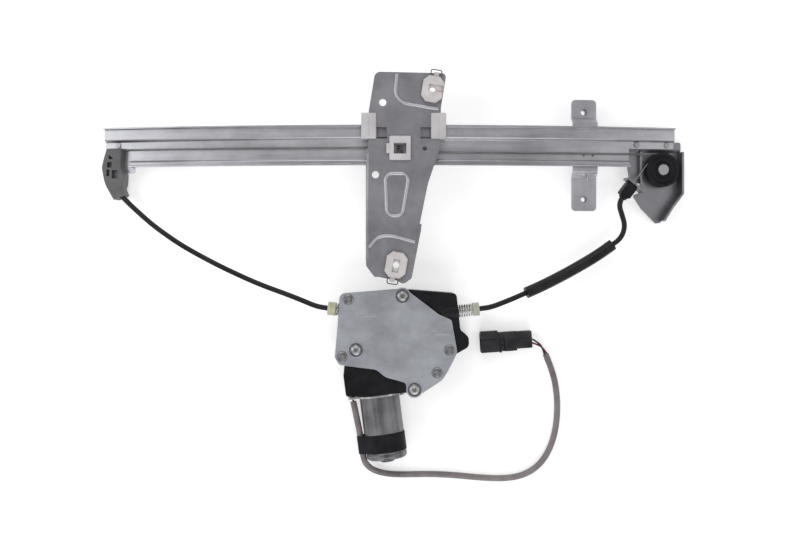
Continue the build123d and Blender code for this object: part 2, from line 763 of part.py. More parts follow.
def drum_housing():
    body = slab(housing_face(), housing_floor, housing_top)
    neck = along_can(can_section(-1.5), can_start, can_start + 8)
    body += neck & block(-200, 200, -400, 0, housing_floor, housing_top)
    body -= along_can(Pos(2, 0) * Rectangle(60, 80), can_start - 30, can_start + flange_sheet)
    body += pocket_boss()
    body -= post(drum_x, drum_y, drum_cavity, drum_low - 0.8, housing_top + 1)
    body -= post(drum_x, drum_y, wheel_cavity, housing_floor - 1, wheel_high + 0.8)
    body -= post(drum_x, drum_y, shaft_bore + shaft_fit, 0, housing_top)
    body -= along_motor(can_start - 5, 19.0, worm_pitch_radius + gear_module + 1.2)
    for x, y in screw_places:
        body -= post(x, y, screw_shank + shaft_fit, -1, housing_top + 1)
    for x, y in rivet_places:
        body -= post(x, y, rivet_shank + shaft_fit, housing_top - 8, housing_top + 1)
    for side in (-1, 1):
        body -= extrude(entry_plane(side, 5) * Circle(cable_diameter / 2 + running_gap), amount=100)
        body -= extrude(entry_plane(side, entry[side]["pocket"]) * Circle(spring_pocket), amount=50)
    body -= motor_frame() * Pos(lead_port_x, lead_port_y, 0) * Rot(0, 90, 0) * Cylinder(lead_port_radius, 14)
    body -= motor_frame() * Pos(can_start + 6, ear_reach, 0) * Rot(0, 90, 0) * Cylinder(motor_screw_shank, 12)
    return body


def housing_back():
    face = offset(housing_face(), -0.4)
    body = slab(face, 0, housing_floor)
    for x, y in screw_places:
        body -= post(x, y, screw_shank + shaft_fit, -1, housing_top + 1)
    boss = post(drum_x, drum_y, 9.0, housing_floor, wheel_low - 1.0)
    body += boss
    return body - post(drum_x, drum_y, shaft_bore - 1.5 + shaft_fit, 1.2, 30)


def top_chamfered(body, size):
    return chamfer(body.faces().sort_by(Axis.Z)[-1].edges(), size)


def cover_plate():
    body = slab(cover_face(), housing_top, cover_top)
    pads = [
        ([(-32.0, -146.9), (-11.0, -146.0), (-10.5, -168.5), (-31.0, -169.0)], [1.5, 1.5, 7.0, 7.0]),
        ([(40.0, -187.0), (59.5, -175.0), (60.0, -187.0)], [1.0, 2.0, 3.0]),
    ]
    for points, radii in pads:
        body += top_chamfered(slab(rounded(points, radii), cover_top, cover_top + pad_height), 0.4)
    for x, y in screw_places:
        body += top_chamfered(post(x, y, screw_lobe - 0.1, cover_top, cover_top + dimple_rim), 0.4)
        body -= post(x, y, screw_dimple, cover_top - screw_seat_depth, cover_top + 2)
        body -= post(x, y, screw_shank + shaft_fit, 0, cover_top + 1)
    for x, y in rivet_places:
        body -= post(x, y, rivet_dimple, cover_top - rivet_seat_depth, cover_top + 2)
        body -= post(x, y, rivet_shank + shaft_fit, 0, cover_top + 1)
    body -= post(drum_x, drum_y, 3.0 + shaft_fit, 0, housing_top + 1.2)
    return body


def cover_screws():
    screws = []
    for x, y in screw_places:
        seat = cover_top - screw_seat_depth
        screw = post(x, y, screw_shank, housing_floor + 3, seat)
        screw += post(x, y, screw_flange, seat, seat + 1.0)
        head = top_chamfered(post(x, y, screw_head, seat + 1.0, seat + 3.6), 0.9)
        screw += head - slab(Pos(x, y) * RegularPolygon(screw_socket, 6), seat + 1.8, seat + 9)
        screws.append(screw)
    return screws


def cover_rivets():
    rivets = []
    for x, y in rivet_places:
        seat = cover_top - rivet_seat_depth
        rivet = post(x, y, rivet_shank, housing_top - 7, seat)
        rivet += top_chamfered(post(x, y, rivet_head, seat, seat + 1.7), 1.0)
        rivets.append(rivet)
    return rivets


def cable_drum():
    r = drum_flange_radius
    root = drum_pitch_radius - cable_diameter / 2 - seat_gap / 10
    points = [(shaft_bore - 1.0, drum_low), (r, drum_low), (r, drum_low + 0.8)]
    pitch = (drum_high - drum_low - 3.2) / drum_turns
    for turn in range(drum_turns):
        z = drum_low + 1.6 + pitch * (turn + 0.5)
        points += [(root + 0.5, z - pitch / 2), (root, z - 0.8), (root, z + 0.8)]
    points += [(root + 0.5, drum_high - 1.6), (r, drum_high - 0.8), (r, drum_high)]
    points.append((shaft_bore - 1.0, drum_high))
    body = revolve(Plane.XZ * make_face(Polyline(*points, close=True)), Axis.Z)
    return Pos(drum_x, drum_y, 0) * body


def drum_wraps():
    rings = []
    pitch = (drum_high - drum_low - 3.2) / drum_turns
    for turn in range(drum_turns):
        if turn % 2 == 0:
            z = drum_low + 1.6 + pitch * (turn + 0.5)
            section = Plane.XZ * Pos(drum_pitch_radius, 0) * RegularPolygon(cable_diameter / 2, 8)
            rings.append(Pos(drum_x, drum_y, z) * revolve(section, Axis.Z))
    return rings


def worm_wheel():
    pitch_radius = wheel_teeth * gear_module / 2
    tooth = 0.36 * pi * gear_module
    slope = tan(radians(20))
    tip = pitch_radius + 0.95 * gear_module
    root = pitch_radius - 1.2 * gear_module
    half_tip = (tooth / 2 - 0.95 * gear_module * slope) / tip
    half_root = (tooth / 2 + 1.2 * gear_module * slope) / root
    first = 90 + motor_tilt + 90 + 180 / wheel_teeth
    points = []
    for n in range(wheel_teeth):
        middle = radians(first + 360 * n / wheel_teeth)
        for radius, swing in ((root, -half_root), (tip, -half_tip), (tip, half_tip), (root, half_root)):
            points.append((radius * cos(middle + swing), radius * sin(middle + swing)))
    body = slab(make_face(Polyline(*points, close=True)), wheel_low, wheel_high)
    body -= post(0, 0, damper_radius + shaft_fit, wheel_low + 2.0, wheel_high + 1)
    body -= post(0, 0, shaft_bore - 1.5 + shaft_fit, 0, 40)
    return Pos(drum_x, drum_y, 0) * body


def damper():
    body = post(0, 0, damper_radius, wheel_low + 2.0 + shaft_fit, wheel_high)
    for n in range(6):
        body -= Rot(0, 0, 60 * n) * post(12.6, 0, 2.6, 0, 40)
    body -= post(0, 0, shaft_bore + shaft_fit, 0, 40)
    return Pos(drum_x, drum_y, 0) * body


def output_shaft():
    body = post(0, 0, shaft_bore - 1.5, 1.4, drum_low)
    body += post(0, 0, shaft_bore, wheel_low + 2.5, wheel_high)
    body += post(0, 0, shaft_bore - 1.0 - shaft_fit, drum_low - 1.0, drum_high)
    body += post(0, 0, 3.0, drum_high, housing_top + 1.0)
    return Pos(drum_x, drum_y, 0) * body


# Motor

def worm():
    root = worm_pitch_radius - 1.15 * gear_module
    tip = worm_pitch_radius + 0.9 * gear_module
    pitch = pi * gear_module
    slope = tan(radians(20))
    tooth = 0.36 * pitch
    half_root = tooth / 2 + 1.3 * gear_module * slope
    half_tip = tooth / 2 - 0.9 * gear_module * slope
    run = worm_length - 3 * pitch
    start_angle = -90 - 360 * (run / 2) / pitch
    line = Helix(pitch, run, worm_pitch_radius, center=(0, 0, -run / 2))
    profile = make_face(Polyline(
        (root - 0.15 * gear_module, -half_root), (tip, -half_tip), (tip, half_tip),
        (root - 0.15 * gear_module, half_root), close=True))
    section = Pos(0, 0, -run / 2) * (Plane.XZ * profile)
    thread = sweep(section, path=line, is_frenet=True)
    body = Cylinder(root, worm_length) + Rot(0, 0, start_angle) * thread
    body -= Cylinder(shaft_radius + shaft_fit, worm_length + 2)
    return motor_frame() * Rot(0, 90, 0) * body


def motor_can():
    body = along_can(can_section(0), can_end, can_start)
    body = fillet(body.faces().sort_by(Axis.Y)[0].edges(), can_edge_radius)
    hollow = along_can(can_section(can_wall), can_end + can_wall, can_start + 1)
    body -= fillet(hollow.faces().sort_by(Axis.Y)[0].edges(), can_edge_radius - can_wall)
    boss = along_motor(can_end - boss_length, can_end + can_wall, boss_radius)
    body += fillet(boss.faces().sort_by(Axis.Y)[0].edges(), 1.6)
    seat_start = can_end - boss_length + boss_wall
    return body - along_motor(seat_start, can_end + can_wall + 1, boss_radius - boss_wall)


def motor_flange():
    """Sheet clamped between the housing and the can; its long ear carries the lead's wires."""
    face = make_hull((can_section(-flange_rim) + Pos(ear_reach, 0) * Circle(ear_radius)).edges())
    ear = [(12.0, -5.2), (lead_port_y + 4.6, -5.2), (lead_port_y + 4.6, 5.2), (12.0, 5.2)]
    face += rounded(ear, 2.0)
    face -= Circle(flange_opening)
    face -= Pos(lead_port_y, 0) * Circle(lead_port_radius)
    face -= Pos(ear_reach, 0) * Circle(motor_screw_shank)
    return along_can(face, can_start, can_start + flange_sheet)


def motor_screw():
    axis = motor_frame() * Pos(0, ear_reach, 0)
    shank = axis * Pos(can_start + 5, 0, 0) * Rot(0, 90, 0) * Cylinder(motor_screw_shank - shaft_fit, 10)
    return shank + axis * Pos(can_start - 0.9, 0, 0) * Rot(0, 90, 0) * Cylinder(motor_screw_head, 1.8)


def end_bush():
    x0 = can_end - boss_length + boss_wall + shaft_fit
    ring = along_motor(x0, can_end, boss_radius - boss_wall - shaft_fit)
    return ring - along_motor(can_end - 20, can_end + 20, shaft_radius + shaft_fit)


def armature_shaft():
    return along_motor(can_end - boss_length + boss_wall + 0.8, worm_length / 2 + 6.0, shaft_radius)


def armature_core():
    face = Circle(core_radius) - Circle(shaft_radius + shaft_fit)
    for n in range(core_slots):
        slot = Pos(core_radius - 2.2, 0) * Rectangle(4.6, 1.4) + Pos(core_radius - 4.4, 0) * Circle(1.5)
        face -= Rot(0, 0, 360 / core_slots * n) * slot
    return along_can(face, core_start, core_end)


def windings():
    rings = []
    for x0 in (core_start - winding_length, core_end):
        hole = along_motor(x0 - 1, x0 + winding_length + 1, shaft_radius + 1.6)
        rings.append(along_motor(x0, x0 + winding_length, winding_radius) - hole)
    return rings


def commutator():
    face = Circle(commutator_radius) - Circle(shaft_radius + shaft_fit)
    for n in range(core_slots):
        face -= Rot(0, 0, 360 / core_slots * n) * (Pos(commutator_radius, 0) * Rectangle(1.0, 0.5))
    return along_can(face, commutator_x, commutator_x + commutator_length)


def magnets():
    pieces = []
    inner = core_radius + 0.9
    for side in (-1, 1):
        face = can_section(can_wall + shaft_fit) - Circle(inner)
        face &= Pos(side * 20, 0) * Rectangle(28, 22)
        pieces.append(along_can(face, core_start - 1.0, core_end + 1.0))
    return pieces


def brush_holder():
    face = can_section(can_wall + shaft_fit) - Circle(commutator_radius + 0.8)
    body = along_can(face, holder_x, holder_x + holder_floor)
    for side in (-1, 1):
        box = Pos(side * 10.6, 0) * (Rectangle(9.6, 6.4) - Rectangle(20, 4.2))
        body += along_can(box, holder_x - brush_length - 1.0, holder_x)
    return body


def brushes():
    pieces = []
    for side in (-1, 1):
        face = Pos(side * (commutator_radius + 0.1 + brush_length / 2), 0) * Rectangle(brush_length, 4.0)
        pieces.append(along_can(face, holder_x - 6.4, holder_x - 0.1))
    return pieces


def brush_springs():
    pieces = []
    for side in (-1, 1):
        inner = commutator_radius + 0.1 + brush_length
        face = Pos(side * (inner + 2.4), 0) * (Rectangle(4.6, 3.4) - Rectangle(3.8, 2.6))
        pieces.append(along_can(face, holder_x - 4.4, holder_x - 2.0))
    return pieces


# Tape round the motor can and its lead

def tape_wrap():
    hull = make_hull((can_section(0) + Pos(lead_side, 0) * Circle(lead_diameter / 2)).edges())
    ring = offset(hull, 0.25 + tape_thickness) - offset(hull, 0.25)
    return along_can(ring, tape_start, tape_start + tape_length)


# Cables and conduits

def in_world(frame, point):
    return tuple((frame * Pos(*point)).position)


def left_route():
    ends = [cable_entry(-1, entry[-1]["cap"] + cap_shoulder), cable_entry(-1, 87.0)]
    middle = [(-98.0, -149.0, 25.2), (-133.0, -136.6, 20.6), (-173.0, -118.4, 18.0),
              (-211.0, -97.8, 16.0), (-240.0, -77.3, 14.6)]
    frame = on_rail(guide_x)
    return ends + middle + [in_world(frame, guide_point(26)), in_world(frame, guide_point(guide_socket))]


def right_route():
    ends = [cable_entry(1, entry[1]["cap"] + cap_shoulder), cable_entry(1, 90.0)]
    middle = [(118.0, -152.8, 29.0), (152.0, -138.6, 22.0), (180.0, -124.5, 17.0),
              (208.0, -108.5, 14.6), (238.5, -86.3, 14.2)]
    frame = on_rail(pulley_x)
    return ends + middle + [in_world(frame, cable_off_pulley(55)),
                            in_world(frame, cable_off_pulley(stop_wall_distance + seat_gap + stop_socket))]


def conduit(points):
    return swept(FilletPolyline(*points, radius=corner_radii(points)), conduit_outer / 2, conduit_bore / 2)


def left_inner_cable():
    route = left_route()
    radii = corner_radii(route)
    end = in_world(on_rail(guide_x), guide_point(0))
    line = FilletPolyline(cable_entry(-1, drum_lead_gap), *route[1:-1], end, radius=radii)
    turn = on_rail(guide_x) * guide_arc(guide_radius, cable_height)
    return [swept(line, cable_diameter / 2), swept(turn, cable_diameter / 2)]


def right_inner_cable():
    route = right_route()
    radii = corner_radii(route)
    end = in_world(on_rail(pulley_x), cable_off_pulley(0))
    line = FilletPolyline(cable_entry(1, drum_lead_gap), *route[1:-1], end, radius=radii)
    arc = CenterArc((0, 0), pulley_pitch_radius, 90, stop_angle - 360)
    turn = on_rail(pulley_x) * Pos(0, pulley_y, cable_height) * arc
    return [swept(line, cable_diameter / 2), swept(turn, cable_diameter / 2)]


def sleeve():
    route = right_route()
    radii = corner_radii(route)
    first, last = 3, 5
    start = (Vector(*route[first - 1]) + Vector(*route[first])) * 0.5
    end = (Vector(*route[last]) + Vector(*route[last + 1])) * 0.5
    line = FilletPolyline(start, *route[first:last + 1], end, radius=radii[first - 1:last])
    return swept(line, 5.75, conduit_outer / 2 + shaft_fit)


def ferrule(side):
    place = entry_plane(side, entry[side]["cap"]).location
    length = entry[side]["cap_length"]
    body = Pos(0, 0, length / 2) * Cylinder(ferrule_radius, length)
    body = chamfer(body.edges().filter_by(GeomType.CIRCLE), 0.7)
    body -= Pos(0, 0, cap_shoulder + 10) * Cylinder(conduit_outer / 2 + shaft_fit, 20)
    body -= Cylinder(cable_diameter / 2 + running_gap, 40)
    return place * body


def tension_spring(side):
    start = entry[side]["pocket"] + spring_wire / 2 + 0.1
    end = entry[side]["cap"] - spring_wire / 2 - 0.1
    turns = round((end - start) / spring_pitch)
    line = Helix((end - start) / turns, end - start, spring_pocket - spring_wire / 2 - seat_gap)
    section = Plane(origin=line @ 0, z_dir=line % 0) * RegularPolygon(spring_wire / 2, 6)
    coil = sweep(section, path=line, is_frenet=True)
    return entry_plane(side, start).location * coil


def cable_run(x0, x1, y):
    section = Pos(y, cable_height) * Circle(cable_diameter / 2)
    return bowed(section, x0, x1)


# Motor lead and connector

def motor_point(x, y, z=0.0):
    return in_world(motor_frame(), (x, y, z))


def lead_route():
    return [
        motor_point(lead_start, lead_port_y), motor_point((lead_start + tape_start + tape_length) / 2, 25.2),
        motor_point(tape_start + tape_length + 0.9, lead_side), motor_point(tape_start - 2.9, lead_side),
        (-24.6, -319.0, 11.4), (-17.8, -325.6, 6.6), (-6.5, -329.6, 4.0),
        (10.0, -331.0, 3.3), (36.0, -330.2, 3.3), (62.0, -331.2, 3.3), (90.0, -334.4, 3.3),
        (115.4, -335.6, 3.3), (134.8, -332.0, 3.3), (150.7, -322.0, 3.3), (161.5, -306.0, 3.3),
        (168.0, -285.0, 3.3), (169.8, -260.0, 3.3), (167.6, -238.5, 3.3), (163.2, -222.5, 3.3),
        (157.5, -208.5, 3.3),
    ]


def wire_route(side):
    if side < 0:
        return [(156.3, -208.65, 3.3), (153.4, -202.6, 4.2), (149.0, -198.8, 6.0), (143.4, -197.4, 7.0)]
    return [(158.5, -207.78, 3.3), (155.8, -200.4, 4.2), (150.4, -194.6, 6.0), (143.4, -192.4, 7.0)]


def port_wires():
    pieces = []
    for side in (-1, 1):
        x0 = lead_start + seat_gap
        x1 = lead_port_x + 6.0
        wire = motor_frame() * Pos((x0 + x1) / 2, lead_port_y, side * 1.15) * Rot(0, 90, 0)
        pieces.append(wire * Cylinder(wire_diameter / 2, x1 - x0))
    return pieces


def connector_frame():
    return Pos(*connector_place, 0) * Rot(0, 0, connector_turn)


def connector():
    half = connector_length / 2
    wide = connector_width / 2
    face = rounded([(-half, -wide), (half - 14, -wide), (half - 14, -wide + 1.6), (half, -wide + 1.6),
                    (half, wide - 1.2), (half - 14, wide - 1.2), (half - 14, wide), (-half, wide)], 0.7)
    body = slab(face, 0, connector_height)
    body -= block(-half - 1, -half + 20, -wide + 1.6, wide - 1.6, 1.8, connector_height - 1.8)
    body += block(-half, -half + 18, 1.0, wide - 1.0, connector_height - 0.2, connector_height + 2.0)
    body -= block(-half + 17, -half + 24, -2.8, 0.2, connector_height - 1.0, 30)
    for y in (-2.6, 2.6):
        body -= block(half - 12, half + 1, y - 1.3, y + 1.3, 7.0 - 1.3, 7.0 + 1.3)
    return connector_frame() * body


def terminals():
    half = connector_length / 2
    pieces = []
    for y in (-2.6, 2.6):
        pieces.append(connector_frame() * block(-half + 8, -half + 20, y - 1.2, y + 1.2, 6.6, 7.4))
    return pieces


# Assemble, stand the part on the table with its middle at the origin, and write the files

plate = carrier_plate()
rail_room = rail_space()
carrier_frame = on_rail(carrier_x)
slider_half = slider_size / 2
nodes = {
    "guide_rail": guide_rail(),
    "rail_mount_strap": mount_strap(),
    "strap_weld_nuts": strap_nuts(),
    "left_cable_guide": left_guide(),
    "left_guide_rivet": guide_rivet(),
    "right_end_bracket": end_bracket(),
    "bracket_rivets": bracket_rivets(),
    "pulley_pin": pulley_pin(),
    "pulley": pulley(),
    "pulley_bush": pulley_bush(),
    "conduit_stop": conduit_stop(),
    "carrier_plate": carrier_frame * plate,
    "left_shoe": carrier_frame * shoe(-1, plate, rail_room),
    "right_shoe": carrier_frame * shoe(1, plate, rail_room),
    "centre_slider": carrier_frame * centre_slider(plate, rail_room),
    "cable_nipples": [carrier_frame * n for n in cable_nipples()],
    "upper_glass_clip": carrier_frame * glass_clip(clip_upper, False),
    "lower_glass_clip": carrier_frame * glass_clip(clip_lower, True),
    "upper_clip_loop": carrier_frame * clip_loop(clip_upper, False),
    "lower_clip_loop": carrier_frame * clip_loop(clip_lower, True),
    "cable_run_left": cable_run(guide_x, carrier_x + slider_x - slider_half - seat_gap, left_cable_y),
    "cable_run_right": cable_run(carrier_x + slider_x + slider_half + seat_gap, pulley_x, right_cable_y),
    "left_inner_cable": left_inner_cable(),
    "right_inner_cable": right_inner_cable(),
    "left_conduit": conduit(left_route()),
    "right_conduit": conduit(right_route()),
    "conduit_sleeve": sleeve(),
    "left_ferrule": ferrule(-1),
    "right_ferrule": ferrule(1),
    "left_tension_spring": tension_spring(-1),
    "right_tension_spring": tension_spring(1),
    "drum_housing": drum_housing(),
    "housing_back": housing_back(),
    "cover_plate": cover_plate(),
    "cover_screws": cover_screws(),
    "cover_rivets": cover_rivets(),
    "cable_drum": cable_drum(),
    "drum_cable_wraps": drum_wraps(),
    "worm_wheel": worm_wheel(),
    "damper": damper(),
    "output_shaft": output_shaft(),
    "worm": worm(),
    "armature_shaft": armature_shaft(),
    "armature_core": armature_core(),
    "armature_windings": windings(),
    "commutator": commutator(),
    "motor_can": motor_can(),
    "motor_flange": [motor_flange(), motor_screw()],
    "motor_end_bush": end_bush(),
    "motor_magnets": magnets(),
    "brush_holder": brush_holder(),
    "brushes": brushes(),
    "brush_springs": brush_springs(),
    "tape_wrap": tape_wrap(),
    "motor_lead": wire_tube(lead_route(), lead_diameter, "lead"),
    "lead_wire_black": wire_tube(wire_route(-1), wire_diameter, "black wire"),
    "lead_wire_red": wire_tube(wire_route(1), wire_diameter, "red wire"),
    "lead_port_wires": port_wires(),
    "connector_housing": connector(),
    "connector_terminals": terminals(),
}
cord_names = ("motor_lead", "lead_wire_black", "lead_wire_red", "connector_housing", "connector_terminals")


def solids_of(made):
    pieces = made if isinstance(made, list) else [made]
    return [solid for piece in pieces for solid in piece.solids()]


def joined(solids):
    return solids[0] if len(solids) == 1 else Compound(children=solids)


body_box = Compound(children=[s for name, made in nodes.items() if name not in cord_names
                              for s in solids_of(copy.copy(made))]).bounding_box()
to_origin = Pos(-body_box.center().X, -body_box.center().Y, -body_box.min.Z)
print("box", body_box.min, body_box.max, "moved by", to_origin.position)
os.makedirs("parts", exist_ok=True)
for name, made in nodes.items():
    export_step(joined([to_origin * solid for solid in solids_of(made)]), f"parts/{name}.step")
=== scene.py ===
import json
import math

import bpy
from mathutils import Matrix, Vector, noise
from mathutils.bvhtree import BVHTree


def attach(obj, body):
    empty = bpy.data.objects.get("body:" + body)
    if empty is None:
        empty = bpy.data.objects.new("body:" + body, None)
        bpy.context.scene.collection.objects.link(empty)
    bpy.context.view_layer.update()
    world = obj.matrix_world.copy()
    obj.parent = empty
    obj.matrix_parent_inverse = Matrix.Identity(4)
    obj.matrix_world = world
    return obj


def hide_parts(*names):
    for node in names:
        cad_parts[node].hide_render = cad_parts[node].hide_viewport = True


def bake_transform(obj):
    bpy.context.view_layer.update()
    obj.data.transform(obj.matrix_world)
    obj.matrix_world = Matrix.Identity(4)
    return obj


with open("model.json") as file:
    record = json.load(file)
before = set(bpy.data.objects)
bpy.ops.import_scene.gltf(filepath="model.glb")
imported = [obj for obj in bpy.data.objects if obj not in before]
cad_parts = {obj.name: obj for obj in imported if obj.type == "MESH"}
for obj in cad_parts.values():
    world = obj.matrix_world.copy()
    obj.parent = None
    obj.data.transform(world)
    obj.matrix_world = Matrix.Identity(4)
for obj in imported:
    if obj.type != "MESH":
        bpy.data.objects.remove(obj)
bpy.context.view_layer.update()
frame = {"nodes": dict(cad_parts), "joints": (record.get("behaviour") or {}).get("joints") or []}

# A cable window regulator, seen from straight above as it lies on a pale table.
# Places are in metres, measured as on the drawing of the part, where the drum's axis is at drawnDrum.
# Small forms are listed in mm on a frame of their own, and their comments say so.

mm = 0.001
drawnDrum = Vector((0.0117, -0.190, 0))
joints = {joint["name"]: joint for joint in frame["joints"]}
drumAxis = Vector(joints["drum_spin"]["pos_m"])
drawingShift = Vector((drumAxis.x - drawnDrum.x, drumAxis.y - drawnDrum.y, 0))
bowAxis = Vector(joints["carrier_travel"]["pos_m"])
bowRadius = 1.700
motorPoint = Vector(joints["armature_spin"]["pos_m"])
motorAxis = Vector(joints["armature_spin"]["axis"])


def drawn(x, y, z=0.0):
    return Vector((x, y, z)) + drawingShift


def railFrame(x):
    # flat frame that touches the back of the bowed rail at x
    turn = math.asin(x / bowRadius)
    middle = Matrix.Translation((bowAxis.x, drawingShift.y, bowAxis.z))
    return middle @ Matrix.Rotation(turn, 4, "Y") @ Matrix.Translation((0, 0, bowRadius))


def motorFrame():
    # x along the motor's axis, y across it, z up
    across = Vector((0, 0, 1)).cross(motorAxis)
    axes = Matrix((motorAxis, across, Vector((0, 0, 1)))).transposed().to_4x4()
    return Matrix.Translation(motorPoint) @ axes


# Camera, straight above the table as in the photograph
shot = {"x": 0.0095, "y": -0.120, "height": 1.020, "lens": 45.0, "sensor": 36.0}


def makeCamera():
    data = bpy.data.cameras.new("camera")
    data.lens = shot["lens"]
    data.sensor_width = shot["sensor"]
    camera = bpy.data.objects.new("camera", data)
    bpy.context.scene.collection.objects.link(camera)
    camera.location = drawn(shot["x"], shot["y"], shot["height"])
    bpy.context.scene.camera = camera


makeCamera()
print("camera placed")


# Motor lead: the points of the solid's route, with the three lowest drawn in by less than 1 mm, so that
# the smooth line stays in the solids' box
lead = {
    "diameter": 0.0063, "wire": 0.0019,
    "alongMotor": [(-0.0580, 0.0266), (-0.0762, 0.0252), (-0.0935, 0.0239), (-0.1155, 0.0239)],
    "onTable": [
        (-0.0246, -0.3190, 0.0114), (-0.0178, -0.3256, 0.0066), (-0.0065, -0.3296, 0.0040),
        (0.0100, -0.3310, 0.0033), (0.0360, -0.3302, 0.0033), (0.0620, -0.3312, 0.0033),
        (0.0900, -0.3340, 0.0033), (0.1154, -0.3351, 0.0033), (0.1348, -0.3318, 0.0033),
        (0.1507, -0.3220, 0.0033), (0.1615, -0.3060, 0.0033), (0.1680, -0.2850, 0.0033),
        (0.1698, -0.2600, 0.0033), (0.1676, -0.2385, 0.0033), (0.1632, -0.2225, 0.0033),
        (0.1575, -0.2085, 0.0033),
    ],
    "blackWire": [(0.1563, -0.20865, 0.0033), (0.1545, -0.2024, 0.0056), (0.1500, -0.1968, 0.0074),
                  (0.1434, -0.1930, 0.0074)],
    "redWire": [(0.1585, -0.20778, 0.0033), (0.1546, -0.2020, 0.0036), (0.1500, -0.1990, 0.0052),
                (0.1434, -0.1968, 0.0066)],
}


def smoothLine(name, points, radius, roundness=6):
    curve = bpy.data.curves.new(name, "CURVE")
    curve.dimensions = "3D"
    curve.bevel_depth = 1.0  # each point's own radius gives the thickness
    curve.bevel_resolution = roundness
    curve.resolution_u = 10
    curve.use_fill_caps = True
    spline = curve.splines.new("NURBS")
    spline.points.add(len(points) - 1)
    for spot, point in zip(spline.points, points):
        spot.co = (*point, 1.0)
        spot.radius = radius
    spline.order_u = 3
    spline.use_endpoint_u = True
    piece = bpy.data.objects.new(name, curve)
    bpy.context.scene.collection.objects.link(piece)
    return piece


def makeLead():
    motor = motorFrame()
    route = [motor @ Vector((x, y, 0)) for x, y in lead["alongMotor"]]
    route += [drawn(*point) for point in lead["onTable"]]
    sheath = smoothLine("motorLead", route, lead["diameter"] / 2)
    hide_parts("motor_lead")
    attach(sheath, "root")
    wires = []
    for name, node, slot, points in (
        ("blackWire", "lead_wire_black", "black_wire", lead["blackWire"]),
        ("redWire", "lead_wire_red", "red_wire", lead["redWire"]),
    ):
        wire = smoothLine(name, [drawn(*point) for point in points], lead["wire"] / 2, 4)
        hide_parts(node)
        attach(wire, "root")
        wires.append(wire)
    return sheath, wires, route[0]


sheath, wires, leadStart = makeLead()
print("lead laid")


# Mesh helpers

def newPiece(name, vertices, faces, replaced, body="root", crease=38):
    mesh = bpy.data.meshes.new(name)
    mesh.from_pydata(vertices, [], faces)
    mesh.validate()
    mesh.polygons.foreach_set("use_smooth", [True] * len(mesh.polygons))
    mesh.set_sharp_from_angle(angle=math.radians(crease))
    piece = bpy.data.objects.new(name, mesh)
    bpy.context.scene.collection.objects.link(piece)
    if replaced:
        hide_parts(replaced)
    if body:
        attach(piece, body)
    return piece


def ringFaces(rows, steps, base=0, closed=False):
    # quads between rows of points that go round an axis, closed by a cap at each end or by themselves
    faces = []
    for row in range(rows if closed else rows - 1):
        low = base + row * steps
        high = base + (row + 1) % rows * steps
        for n in range(steps):
            after = (n + 1) % steps
            faces.append((low + n, low + after, high + after, high + n))
    if not closed:
        faces.append(tuple(base + n for n in reversed(range(steps))))
        faces.append(tuple(base + (rows - 1) * steps + n for n in range(steps)))
    return faces


def millimetres(rows):
    return [[value * mm for value in row] for row in rows]


def turned(profile, places, steps=60, closed=False, lobes=0):
    # a turned shape at each place; a row is radius and height, and how far it waves where there are lobes
    vertices, faces = [], []
    for place in places:
        base = len(vertices)
        for radius, height, *wave in profile:
            for n in range(steps):
                angle = 2 * math.pi * n / steps
                reach = radius + sum(wave) * math.cos(lobes * angle)
                vertices.append(place @ Vector((reach * math.cos(angle), reach * math.sin(angle), height)))
        faces += ringFaces(len(profile), steps, base, closed)
    return vertices, faces


def crossFrames(points):
    # at each point of a line: the way ahead and two directions across it, without twist
    frames = []
    side = None
    for n, point in enumerate(points):
        ahead = (points[min(n + 1, len(points) - 1)] - points[max(n - 1, 0)]).normalized()
        side = side or ahead.orthogonal()
        side = (side - ahead * side.dot(ahead)).normalized()
        frames.append((point, ahead, side, ahead.cross(side)))
    return frames


def roundWire(points, radius, sides=10, base=0):
    vertices = []
    for point, ahead, side, up in crossFrames(points):
        for n in range(sides):
            angle = 2 * math.pi * n / sides
            vertices.append(point + (side * math.cos(angle) + up * math.sin(angle)) * radius)
    return vertices, ringFaces(len(points), sides, base)


